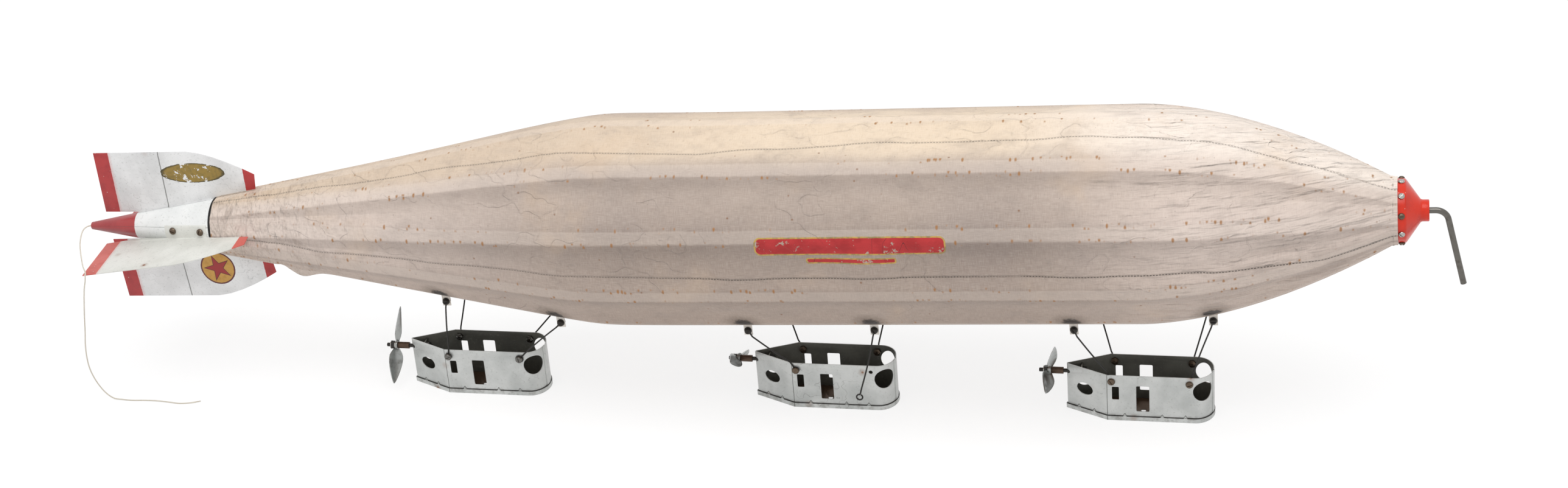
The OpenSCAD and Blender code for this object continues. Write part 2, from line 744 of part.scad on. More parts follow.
// The middle gondola's near front wire has lost its screw and hangs free
module loose_link() {
    high = high_eye(front_bracket_x[1], -1);
    length = norm(high - low_eye(1, front_eye_x, -1));
    color("#3b3936")
        wire_link(high, high - length * [sin(loose_angle), 0, cos(loose_angle)], eye_bore);
}

module gondola_screws(k) {
    color("#8c887f") for (side = [-1, 1]) for (x = [rear_eye_x, front_eye_x])
        if (k != 1 || side > 0 || x == rear_eye_x) {
            inside = eye_inside(k, side);
            out = gon_w / 2 + (inside ? 0.05 : 2 * joint_gap + eye_t);
            grip = eye_t + sheet_t + 0.05 + joint_gap + (inside ? inner_gap : joint_gap);
            translate([gondola_x(k) + x, side * out, eye_z]) rotate([side * -90, 0, 0]) round_screw(grip);
        }
}

module link_brackets(k) {
    foot_l = foot_in + tab_side + strip_t / 2;
    color("#e9e2d6") in_hull() for (x = [rear_bracket_x[k], front_bracket_x[k]]) for (side = [-1, 1])
        difference() {
            union() {
                // Foot under the stringer, with its outer edge turned down through the cloth
                on_stringer(-90 + side * stringer_step, x, ring_depth)
                    translate([-bracket_w / 2, (side > 0 ? -foot_in : -tab_side - strip_t / 2), -strip_t]) {
                        cube([bracket_w, foot_l, strip_t]);
                        translate([0, side > 0 ? foot_l - strip_t : 0, 0])
                            cube([bracket_w, strip_t, ring_depth + 1.2]);
                    }
                translate([x - bracket_w / 2, side * tab_y(x) - strip_t / 2, tab_top(x) - tab_l])
                    cube([bracket_w, strip_t, tab_l + 0.6]);
            }
            rivet_hole(-90 + side * stringer_step, x);
            translate([x, side * tab_y(x), tab_top(x) - tab_drop]) rotate([90, 0, 0])
                cylinder(d = screw_d, h = 4 * strip_t, center = true);
        }
}

module bracket_screws(k) {
    grip = strip_t + 2 * joint_gap + eye_t;
    color("#35312d") in_hull() for (x = [rear_bracket_x[k], front_bracket_x[k]]) for (side = [-1, 1])
        translate([x, side * (tab_y(x) + strip_t / 2 + 2 * joint_gap + eye_t), tab_top(x) - tab_drop])
            rotate([side * -90, 0, 0]) round_screw(grip);
}

envelope_cover();
stringers();
ring_frame(0);  // ring_frame_1
ring_frame(1);  // ring_frame_2
ring_frame(2);  // ring_frame_3
ring_frame(3);  // ring_frame_4
ring_frame(4);  // ring_frame_5
ring_frame(5);  // ring_frame_6
ring_frame(6);  // ring_frame_7
ring_frame(7);  // ring_frame_8
nose_ring();
frame_rivets();
nose_cap();
nose_cap_screws();
mooring_rod();
rod_collar();
tail_collar();
tail_cone();
fin(fin_top_set);  // fin_top
fin(fin_bottom_set);  // fin_bottom
fin(fin_left_set);  // fin_left
fin(fin_right_set);  // fin_right
fin_screws();
tail_cord();
gondola_wall(0);  // gondola_wall_1
gondola_wall(1);  // gondola_wall_2
gondola_wall(2);  // gondola_wall_3
gondola_floor(0);  // gondola_floor_1
gondola_floor(1);  // gondola_floor_2
gondola_floor(2);  // gondola_floor_3
shaft_bearing(0);  // shaft_bearing_1
shaft_bearing(1);  // shaft_bearing_2
shaft_bearing(2);  // shaft_bearing_3
gondola_screws(0);  // gondola_screws_1
gondola_screws(1);  // gondola_screws_2
gondola_screws(2);  // gondola_screws_3
link_brackets(0);  // link_brackets_1
link_brackets(1);  // link_brackets_2
link_brackets(2);  // link_brackets_3
bracket_screws(0);  // bracket_screws_1
bracket_screws(1);  // bracket_screws_2
bracket_screws(2);  // bracket_screws_3
rear_links(0);  // rear_links_1
rear_links(1);  // rear_links_2
rear_links(2);  // rear_links_3
front_links(0);  // front_links_1
front_links(1);  // front_links_2
front_links(2);  // front_links_3
loose_link();
propeller(0);  // propeller_1
propeller(1);  // propeller_2
propeller(2);  // propeller_3
propeller_shaft(0);  // propeller_shaft_1
propeller_shaft(1);  // propeller_shaft_2
propeller_shaft(2);  // propeller_shaft_3
shaft_nuts(0);  // shaft_nuts_1
shaft_nuts(1);  // shaft_nuts_2
shaft_nuts(2);  // shaft_nuts_3
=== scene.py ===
import json
import logging
import math
from collections.abc import Callable, Iterable, Sequence
from dataclasses import dataclass, field
from enum import Enum

import bmesh
import bpy
import numpy as np
from mathutils import Matrix, Vector, noise


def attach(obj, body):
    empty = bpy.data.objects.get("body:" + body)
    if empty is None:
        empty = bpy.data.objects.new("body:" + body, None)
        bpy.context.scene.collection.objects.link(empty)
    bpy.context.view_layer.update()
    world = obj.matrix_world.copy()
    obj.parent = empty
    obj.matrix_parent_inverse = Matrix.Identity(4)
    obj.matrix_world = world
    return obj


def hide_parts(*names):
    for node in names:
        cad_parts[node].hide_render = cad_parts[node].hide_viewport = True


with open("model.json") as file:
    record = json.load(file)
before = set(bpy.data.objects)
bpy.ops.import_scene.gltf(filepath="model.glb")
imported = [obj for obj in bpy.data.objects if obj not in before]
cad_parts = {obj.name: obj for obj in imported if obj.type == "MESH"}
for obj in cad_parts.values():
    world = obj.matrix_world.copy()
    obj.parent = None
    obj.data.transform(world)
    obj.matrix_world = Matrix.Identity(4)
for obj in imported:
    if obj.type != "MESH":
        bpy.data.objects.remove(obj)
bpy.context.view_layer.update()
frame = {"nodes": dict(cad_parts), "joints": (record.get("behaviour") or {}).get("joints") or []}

MM = 0.001
ROD_JOINT_X = 1360.0
CONE_TIP_R = 3.8
CONE_SLOPE = 10.4
STRIP_TURN = 36.0
FIRST_STRIP = 18.0
GONDOLAS = range(3)
SIDES = (-1, 1)
Socket = bpy.types.NodeSocket
Piece = bpy.types.Object
Material = bpy.types.Material
Array = np.ndarray
log = logging.getLogger("toy_airship")


def srgb(code: str) -> tuple[float, float, float, float]:
    """Turns a web colour of six hexadecimal digits into linear red, green, blue and an alpha of 1."""
    parts = [int(code[i : i + 2], 16) / 255 for i in (0, 2, 4)]
    linear = [c / 12.92 if c <= 0.04045 else ((c + 0.055) / 1.055) ** 2.4 for c in parts]
    return linear[0], linear[1], linear[2], 1.0


def smoothstep(low: float, high: float, value: Array) -> Array:
    """Eases value from 0 at low to 1 at high."""
    t = np.clip((value - low) / (high - low), 0, 1)
    return t * t * (3 - 2 * t)


def hump(value: Array, middle: float, width: float) -> Array:
    """Gives 1 where value is at the middle, falling away over a width."""
    return np.exp(-(((value - middle) / width) ** 2))


def fractal(points: Array, octaves: int) -> Array:
    """Samples seeded noise of some octaves at each row of three numbers, about -1 to 1."""
    return np.array([
        noise.fractal(Vector(p), 1.0, 2.0, octaves, noise_basis="PERLIN_ORIGINAL") for p in points
    ])


def wrapped(degrees: Array) -> Array:
    """Brings angles to between -180 and 180."""
    return (degrees + 180) % 360 - 180


def run_of(line: Array) -> Array:
    """Measures how far each point of a line is along it."""
    return np.concatenate([[0], np.cumsum(np.linalg.norm(np.diff(line, axis=0), axis=1))])


def unit(rows: Array) -> Array:
    """Scales each row to a length of 1."""
    return rows / np.linalg.norm(rows, axis=1, keepdims=True)


def cone_r(x: float) -> float:
    """Gives the tail cone's radius at a distance from its tip, in mm."""
    return CONE_TIP_R + x * math.tan(math.radians(CONE_SLOPE))


def joint_at(name: str) -> dict:
    """Finds a joint of the frame."""
    return next(j for j in frame["joints"] if j["name"] == name)


class Body(Enum):
    """Bodies of the frame that single pieces ride on."""

    HULL = "hull"
    ROD = "mooring_rod"
    LOOSE_LINK = "loose_link"


class Graph:
    """A material's node tree, with short calls for the nodes that the finishes use."""

    def __init__(self, name: str) -> None:
        """Makes an empty material with one surface shader.

        Args:
            name: the material's name.
        """
        self.material = bpy.data.materials.new(name)
        self.material.use_nodes = True
        self.tree = self.material.node_tree
        self.tree.nodes.clear()
        self.shader = self.add("ShaderNodeBsdfPrincipled")
        output = self.add("ShaderNodeOutputMaterial")
        self.tree.links.new(self.shader.outputs[0], output.inputs[0])
        self.place = self.add("ShaderNodeTexCoord").outputs["Object"]

    def add(self, kind: str, **settings: object) -> bpy.types.Node:
        """Adds a node and sets its properties."""
        node = self.tree.nodes.new(kind)
        for key, value in settings.items():
            setattr(node, key, value)
        return node

    def put(self, socket: Socket, value: object) -> None:
        """Links a socket to value, or sets it where value is a number or a colour."""
        if isinstance(value, Socket):
            self.tree.links.new(value, socket)
        else:
            socket.default_value = value

    def fill(self, node: bpy.types.Node, values: Iterable[object], first: int = 0) -> bpy.types.Node:
        """Fills a node's sockets in order."""
        for socket, value in zip(node.inputs[first:], values, strict=False):
            self.put(socket, value)
        return node

    def surface(self, **values: object) -> None:
        """Sets the shader's sockets by their names, with _ for a space."""
        for key, value in values.items():
            self.put(self.shader.inputs[key.replace("_", " ")], value)

    def colour(self) -> Socket:
        """Returns the colour that the surface has so far."""
        return self.shader.inputs["Base Color"].links[0].from_socket

    def math(self, operation: str, *values: object) -> Socket:
        """Adds one step of arithmetic, by bpy's name of the operation."""
        return self.fill(self.add("ShaderNodeMath", operation=operation), values).outputs[0]

    def times(self, value: object, *others: object) -> Socket:
        """Multiplies value by the others."""
        for other in others:
            value = self.math("MULTIPLY", value, other)
        return value

    def minus(self, value: object, other: object) -> Socket:
        """Takes other away from value."""
        return self.math("SUBTRACT", value, other)

    def size(self, value: object) -> Socket:
        """Gives value without its sign."""
        return self.math("ABSOLUTE", value)

    def hypot(self, u: object, v: object) -> Socket:
        """Gives the distance that two offsets make."""
        return self.math("SQRT", self.math("ADD", self.math("POWER", u, 2.0), self.math("POWER", v, 2.0)))

    def ease(self, value: object, low: float, high: float) -> Socket:
        """Maps value to 0 at low and 1 at high, eased, either way round."""
        node = self.add("ShaderNodeMapRange", interpolation_type="SMOOTHSTEP")
        ends = (1.0, 0.0) if low > high else (0.0, 1.0)
        return self.fill(node, (value, min(low, high), max(low, high), *ends)).outputs[0]

    def dot(self, vector: object, axis: Sequence[float]) -> Socket:
        """Measures a vector along an axis."""
        node = self.add("ShaderNodeVectorMath", operation="DOT_PRODUCT")
        return self.fill(node, (vector, tuple(axis))).outputs["Value"]

    def combine(self, *values: object) -> Socket:
        """Joins up to three numbers to a vector."""
        return self.fill(self.add("ShaderNodeCombineXYZ"), values).outputs[0]

    def stretched(self, scale: Sequence[float], source: object = None) -> Socket:
        """Scales the place that a pattern is read at."""
        node = self.add("ShaderNodeMapping")
        self.put(node.inputs["Vector"], source or self.place)
        node.inputs["Scale"].default_value = tuple(scale)
        return node.outputs[0]

    def noise(self, scale: float, detail: float = 4.0, rough: float = 0.55, source: object = None) -> Socket:
        """Adds noise.

        Args:
            scale: cells in a metre.
            detail: layers of finer noise.
            rough: strength of the finer layers.
            source: place that it is read at, the object's own by default.

        Returns:
            A value about 0 to 1.
        """
        node = self.add("ShaderNodeTexNoise")
        self.put(node.inputs["Vector"], source or self.place)
        for name, value in (("Scale", scale), ("Detail", detail), ("Roughness", rough)):
            node.inputs[name].default_value = value
        return node.outputs["Fac"]

    def spots(self, scale: float, low: float, high: float, share: float, source: object = None) -> Socket:
        """Scatters round spots.

        Args:
            scale: cells in a metre, with up to one spot in each.
            low: spot radius at full strength, as a share of a cell.
            high: radius at which it has faded out.
            share: share of the cells that have a spot.
            source: place that it is read at, the object's own by default.

        Returns:
            1 in a spot and 0 outside.
        """
        node = self.add("ShaderNodeTexVoronoi")
        self.put(node.inputs["Vector"], source or self.place)
        node.inputs["Scale"].default_value = scale
        split = self.fill(self.add("ShaderNodeSeparateColor"), (node.outputs["Color"],))
        chosen = self.math("LESS_THAN", split.outputs[0], share)
        return self.times(self.ease(node.outputs["Distance"], high, low), chosen)

    def scratches(self, source: object, scale: float, width: float) -> Socket:
        """Draws thin wavering lines where noise crosses its middle."""
        return self.ease(self.size(self.minus(self.noise(scale, 2, 0.4, source), 0.5)), width, 0.0)

    def mix(self, share: object, first: object, second: object, blend: str = "MIX") -> Socket:
        """Mixes two colours.

        Args:
            share: how much of the second.
            first: a colour.
            second: a colour.
            blend: bpy's name of the blend.

        Returns:
            The mixed colour.
        """
        node = self.add("ShaderNodeMix", data_type="RGBA", blend_type=blend)
        self.put(node.inputs[0], share)
        return self.fill(node, (first, second), 6).outputs[2]

    def tint(self, colour: object, share: object, strength: float, code: str) -> Socket:
        """Lays a web colour over a colour where share is 1, as strongly as strength says."""
        return self.mix(self.times(share, strength) if strength < 1 else share, colour, srgb(code))

    def mottled(
        self, first: str, second: str, scale: float, low: float, high: float, detail: float = 4.0
    ) -> Socket:
        """Mottles a web colour with a second one, from none where noise is low to all where it is high."""
        return self.mix(self.ease(self.noise(scale, detail), low, high), srgb(first), srgb(second))

    def bump(self, height: object, depth: float, strength: float = 1.0) -> None:
        """Raises the surface by height times depth in metres, over any bump it already has.

        Args:
            height: how high the surface is.
            depth: metres for a height of 1.
            strength: how much of it shows.
        """
        node = self.add("ShaderNodeBump")
        node.inputs["Distance"].default_value = depth
        node.inputs["Strength"].default_value = strength
        self.put(node.inputs["Height"], height)
        normal = self.shader.inputs["Normal"]
        if normal.is_linked:
            self.put(node.inputs["Normal"], normal.links[0].from_socket)
        self.put(normal, node.outputs[0])

    def frame_of(self, matrix: Matrix) -> list[Socket]:
        """Reads the object's coordinates in a frame that is placed in the part, in metres."""
        back = matrix.inverted()
        return [self.math("ADD", self.dot(self.place, row[:3]), row[3]) for row in back[:3]]

    def split(self, vector: object) -> list[Socket]:
        """Splits a vector into its three numbers."""
        return list(self.fill(self.add("ShaderNodeSeparateXYZ"), (vector,)).outputs)

    def uv(self, name: str) -> list[Socket]:
        """Reads one of a piece's UV maps as two numbers."""
        return self.split(self.add("ShaderNodeUVMap", uv_map=name).outputs[0])[:2]

    def band(self, value: object, edge: float, soft: float) -> Socket:
        """Gives 1 where value is within edge of 0, fading out over soft."""
        return self.ease(self.size(value), edge + soft, edge)

    def wobble(self, value: object, amount: float, scale: float) -> Socket:
        """Shifts a value a little from place to place, so that its edges wander."""
        drift = self.math("MULTIPLY_ADD", self.noise(scale, 3), 2 * amount, -amount)
        return self.math("ADD", value, drift)


@dataclass(frozen=True)
class HullFrame:
    """The hull's own frame: distance from the tail tip, angle about the axis and radius, in mm.

    Angle 0 points to the near side, -Y, and 90 points up.
    """

    tip: Vector
    forward: Vector
    lift: Vector

    @classmethod
    def from_joint(cls) -> "HullFrame":
        """Reads the axis from the mooring rod's joint."""
        joint = joint_at("mooring_rod_swivel")
        forward = Vector(joint["axis"]).normalized()
        tip = Vector(joint["pos_m"]) - forward * (ROD_JOINT_X * MM)
        return cls(tip, forward, forward.cross(Vector((0, 1, 0))))

    def matrix(self) -> Matrix:
        """Places the frame in the part: local X forwards, Y away from the camera and Z up."""
        turn = Matrix((self.forward, (0, 1, 0), self.lift)).transposed().to_4x4()
        return Matrix.Translation(self.tip) @ turn

    def point(self, x: float, angle: float, radius: float) -> Vector:
        """Places a point given in the hull's own frame."""
        turn = math.radians(angle)
        return self.matrix() @ (Vector((x, -radius * math.cos(turn), radius * math.sin(turn))) * MM)

    def outward(self, angle: float) -> Vector:
        """Returns the direction away from the axis at an angle."""
        turn = math.radians(angle)
        return Vector((0, -math.cos(turn), 0)) + self.lift * math.sin(turn)


HULL = HullFrame.from_joint()
SWAYS = [joint_at(f"gondola_sway_{k + 1}")["pos_m"] for k in GONDOLAS]
STERN_TO_SWAY = 48

# Finishes


@dataclass(frozen=True)
class SheetPaint:
    """Old paint on sheet metal, with specks, scratches and rusty edges."""

    name: str
    colour: str
    shade: str
    rough: float = 0.42
    metal: float = 0.0
    speckle: float = 0.35
    scratch: float = 0.3
    rust: float = 0.1
    dent: float = 0.00012

    def graph(self) -> Graph:
        """Builds the nodes that every painted sheet shares.

        Returns:
            The graph, with its surface set.
        """
        g = Graph(self.name)
        colour = g.mottled(self.colour, self.shade, 28, 0.35, 0.7, 5)
        colour = g.tint(colour, g.ease(g.noise(420, 3, 0.7), 0.56, 0.72), self.speckle, "8E8E88")
        lines = g.times(g.scratches(g.stretched((1, 1, 1.6)), 45, 0.006), g.ease(g.noise(16), 0.5, 0.62))
        colour = g.tint(colour, lines, self.scratch, "4A4A46")
        if self.rust:
            halo = g.times(g.spots(70, 0.1, 0.42, self.rust), 0.35)
            colour = g.tint(colour, g.math("MAXIMUM", g.spots(70, 0.06, 0.2, self.rust), halo), 1, "8A5A3A")
        rough = g.math("MULTIPLY_ADD", g.noise(60, 4), 0.25, self.rough - 0.1)
        g.surface(Base_Color=colour, Roughness=rough, Metallic=self.metal)
        g.bump(g.noise(26, 2), self.dent * 4, 0.5)
        g.bump(g.noise(700, 3), self.dent, 0.6)
        return g

    def material(self) -> Material:
        """Returns the plain paint's material."""
        return self.graph().material


@dataclass(frozen=True)
class BareMetal:
    """Bare or plated metal, dulled and streaked."""

    name: str
    colour: str
    stain: str
    rough: float = 0.35
    grain: tuple[float, float, float] = (1.0, 1.0, 1.0)
    stains: float = 0.5
    metal: float = 1.0

    def material(self) -> Material:
        """Builds the metal's material.

        Returns:
            The material.
        """
        g = Graph(self.name)
        streak = g.noise(260, 4, 0.6, g.stretched(self.grain))
        patch = g.ease(g.noise(90, 5, 0.65), 0.5, 0.72)
        colour = g.tint(srgb(self.colour), patch, self.stains, self.stain)
        colour = g.mix(g.times(streak, 0.3), colour, srgb("2E2B28"), "MULTIPLY")
        g.surface(Base_Color=colour, Metallic=self.metal)
        g.surface(Roughness=g.math("MULTIPLY_ADD", patch, 0.3, self.rough))
        g.bump(streak, 0.00006, 0.5)
        return g.material


@dataclass(frozen=True)
class RedEnamel:
    """Glossy red enamel with fine chips."""

    name: str = "red_enamel"
    colour: str = "DE2E10"
    shade: str = "C8260E"

    def material(self) -> Material:
        """Builds the enamel's material.

        Returns:
            The material.
        """
        g = Graph(self.name)
        colour = g.mottled(self.colour, self.shade, 60, 0.4, 0.7, 3)
        colour = g.tint(colour, g.spots(320, 0.08, 0.2, 0.06), 1, "E8C6B8")
        worn = g.times(g.scratches(g.place, 90, 0.004), g.ease(g.noise(40), 0.52, 0.62))
        colour = g.tint(colour, worn, 0.6, "7A1A12")
        g.surface(Base_Color=colour, Roughness=g.math("MULTIPLY_ADD", g.noise(110, 4), 0.22, 0.14))
        g.surface(Coat_Weight=0.1, Coat_Roughness=0.12, Specular_IOR_Level=0.35)
        g.bump(g.noise(160, 3), 0.00008, 0.5)
        return g.material


@dataclass(frozen=True)
class ConePaint(SheetPaint):
    """The tail cone's bright silver paint, red at its tip, with painted shade on its underside and along its
    fold.
    """

    red_end: float = 0.0545
    fold_angle: float = 21.0

    def material(self) -> Material:
        """Builds the cone's material.

        Returns:
            The material.
        """
        g = self.graph()
        along, side, up = g.frame_of(HULL.matrix())
        red = g.mottled("B23A3C", "A02C32", 50, 0.35, 0.7)
        at_tip = g.ease(g.wobble(along, 0.0003, 300), self.red_end + 0.0003, self.red_end)
        colour = g.mix(at_tip, g.colour(), red)
        around = g.math("ARCTAN2", up, g.times(side, -1.0))
        # Painted shade: the cone's underside is darkened.
        under = g.ease(around, math.radians(16), math.radians(-25))
        colour = g.mix(g.times(under, 0.4), colour, srgb("8F8E88"), "MULTIPLY")
        # Painted shade: a dark line along the fold of the cone's sheet.
        fold = g.band(g.minus(around, math.radians(self.fold_angle)), 0.004, 0.012)
        g.surface(Base_Color=g.tint(colour, fold, 0.7, "4A4844"))
        return g.material


@dataclass(frozen=True)
class GondolaPaint(SheetPaint):
    """A gondola's silver paint, with painted shade along the pan's rim and in the folds, and brown on its
    floor.
    """

    stern_x: float = 0.0
    peaks: tuple[float, ...] = (14, 30, 61, 98, 121)
    peak_half: float = 2.2
    peak_h: float = 2.6
    rim_z: float = 5.1
    fold_x: float = 43.7
    outside_y: float = 19.5

    def material(self) -> Material:
        """Builds the paint's material.

        Returns:
            The material.
        """
        g = self.graph()
        x, y, z = g.split(g.place)
        x = g.minus(x, self.stern_x * MM)
        lift = 0.0
        for peak in self.peaks:
            near = g.ease(g.size(g.minus(x, peak * MM)), self.peak_half * MM, 0.0)
            lift = g.math("ADD", lift, g.times(near, self.peak_h * MM))
        above = g.minus(g.wobble(z, 0.0002, 300), g.math("ADD", lift, self.rim_z * MM))
        outside = g.ease(g.size(y), self.outside_y * MM, (self.outside_y + 1) * MM)
        fold = g.times(g.band(g.minus(x, self.fold_x * MM), 0.00018, 0.0003), outside)
        grime = g.times(g.ease(z, 0.009, 0.0045), g.ease(g.noise(130, 5), 0.45, 0.7))
        colour = g.tint(g.colour(), grime, 0.45, "6A655C")
        # Painted shade: dark lines along the top of the pan's rim, where it stands off the wall, and down the
        # outside of each fold.
        colour = g.tint(colour, g.math("MAXIMUM", g.band(above, 0.0004, 0.0003), fold), 0.8, "34312D")
        floor = g.times(g.ease(z, 0.0014, 0.0011), g.math("GREATER_THAN", z, 0.0006))
        flat = g.dot(g.add("ShaderNodeNewGeometry").outputs["Normal"], (0, 0, 1))
        g.surface(Base_Color=g.tint(colour, g.times(floor, g.ease(flat, 0.5, 0.9)), 1, "5E4C3C"))
        return g.material


class FinSide(Enum):
    """The four fins, by the angle of each about the hull's axis in degrees."""

    TOP = 90
    BOTTOM = -90
    LEFT = 0
    RIGHT = 180


@dataclass(frozen=True)
class FinPaint(SheetPaint):
    """A fin's silver-white paint with red bands, a scored rudder line and its ornament."""

    side: FinSide = FinSide.TOP
    tail_band: float = 0.0355
    nose_band: float = 0.1812
    rudder_x: float = 0.0915
    roundel: tuple[float, float] = (0.1307, 0.052)
    oval: tuple[float, float] = (0.1275, 0.0605)
    oval_half: tuple[float, float] = (0.0355, 0.0112)

    def star(self, g: Graph, u: object, v: object, reach: float) -> Socket:
        """Draws a five-pointed star.

        Args:
            g: the material's graph.
            u: distance to the right of its middle.
            v: distance above its middle.
            reach: radius of its points.

        Returns:
            1 inside the star.
        """
        lean, fifth = -math.pi / 2 - 0.3, math.pi / 5
        radius = g.hypot(u, v)
        turn = g.math("ADD", g.math("ARCTAN2", v, u), lean + 4 * math.pi)
        fold = g.math("PINGPONG", turn, fifth)
        inner = 0.382 * reach
        across = (inner * math.sin(fifth), reach - inner * math.cos(fifth))
        x = g.times(radius, g.math("COSINE", fold), across[0])
        y = g.times(radius, g.math("SINE", fold), across[1])
        return g.math("LESS_THAN", g.math("ADD", x, y), reach * across[0])

    def with_roundel(self, g: Graph, colour: object, along: object, out: object) -> Socket:
        """Lays the roundel with its star over a colour.

        Args:
            g: the material's graph.
            colour: the fin's colour.
            along: distance from the tail tip.
            out: distance from the hull's axis.

        Returns:
            The colour with the roundel.
        """
        u, v = g.minus(along, self.roundel[0]), g.minus(self.roundel[1], out)
        radius = g.wobble(g.hypot(u, v), 0.0003, 500)
        colour = g.tint(colour, g.math("LESS_THAN", radius, 0.0192), 1, "5E1F24")
        gold = g.mottled("D2A04C", "C08C3C", 150, 0.4, 0.7)
        colour = g.mix(g.math("LESS_THAN", radius, 0.0176), colour, gold)
        colour = g.tint(colour, self.star(g, u, v, 0.0162), 1, "54181C")
        return g.tint(colour, self.star(g, u, v, 0.0140), 1, "A32A2C")

    def with_oval(self, g: Graph, colour: object, along: object, out: object) -> Socket:
        """Lays the flaked gilt oval over a colour.

        Args:
            g: the material's graph.
            colour: the fin's colour.
            along: distance from the tail tip.
            out: distance from the hull's axis.

        Returns:
            The colour with the oval.
        """
        shares = (
            g.times(g.minus(value, middle), 1 / half)
            for value, middle, half in zip((along, out), self.oval, self.oval_half, strict=True)
        )
        radius = g.wobble(g.hypot(*shares), 0.06, 260)
        flaked = g.ease(g.wobble(g.noise(70, 5, 0.65), 0.1, 420), 0.415, 0.435)
        tone = g.mottled("9A7F3A", "857036", 240, 0.4, 0.7)
        tone = g.tint(tone, g.ease(radius, 0.86, 0.97), 1, "4E4424")
        return g.mix(g.times(g.math("LESS_THAN", radius, 1.0), flaked), colour, tone)

    def material(self) -> Material:
        """Builds the fin's material.

        Returns:
            The material.
        """
        g = self.graph()
        along, side, up = g.frame_of(HULL.matrix())
        turn = math.radians(self.side.value)
        out = g.math("ADD", g.times(side, -math.cos(turn)), g.times(up, math.sin(turn)))
        edge = g.wobble(g.minus(along, g.times(out, 0.03)), 0.0004, 240)
        tones = ("D4665C", "C6584F") if self.side is FinSide.LEFT else ("B9393A", "A52F32")
        red = g.mottled(*tones, 90, 0.4, 0.75)
        red = g.tint(red, g.spots(240, 0.05, 0.16, 0.12), 1, "D9C9C0")
        blush = g.ease(edge, self.tail_band + 0.004, self.tail_band)
        colour = g.tint(g.colour(), blush, 0.35, "E08A86")
        colour = g.mix(g.ease(edge, self.tail_band + 0.0003, self.tail_band), colour, red)
        colour = g.mix(g.ease(edge, self.nose_band, self.nose_band + 0.0003), colour, red)
        if self.side in (FinSide.TOP, FinSide.BOTTOM):
            line = g.band(g.minus(edge, self.rudder_x), 0.00035, 0.0003)
            colour = g.tint(colour, line, 0.75, "55544F")
            g.bump(line, -0.0003)
            ornament = self.with_oval if self.side is FinSide.TOP else self.with_roundel
            colour = ornament(g, colour, along, out)
        g.surface(Base_Color=colour)
        return g.material


class ClothGraph(Graph):
    """A graph that reads the cloth's own maps."""

    def __init__(self, name: str) -> None:
        """Makes the graph and reads the maps.

        Args:
            name: the material's name.
        """
        super().__init__(name)
        self.around, self.along = self.uv("cloth")
        self.flat = self.combine(self.along, self.around)
        self.seam, self.strip = self.uv("seam")[0], self.uv("strip")[0]
        self.rise = self.add("ShaderNodeAttribute", attribute_name="rise").outputs["Fac"]

    def grain(self, along: float, around: float, detail: float, rough: float) -> Socket:
        """Adds noise with so many cells in a metre along the cloth and round it."""
        return self.noise(1.0, detail, rough, self.stretched((along, around, 1), self.flat))


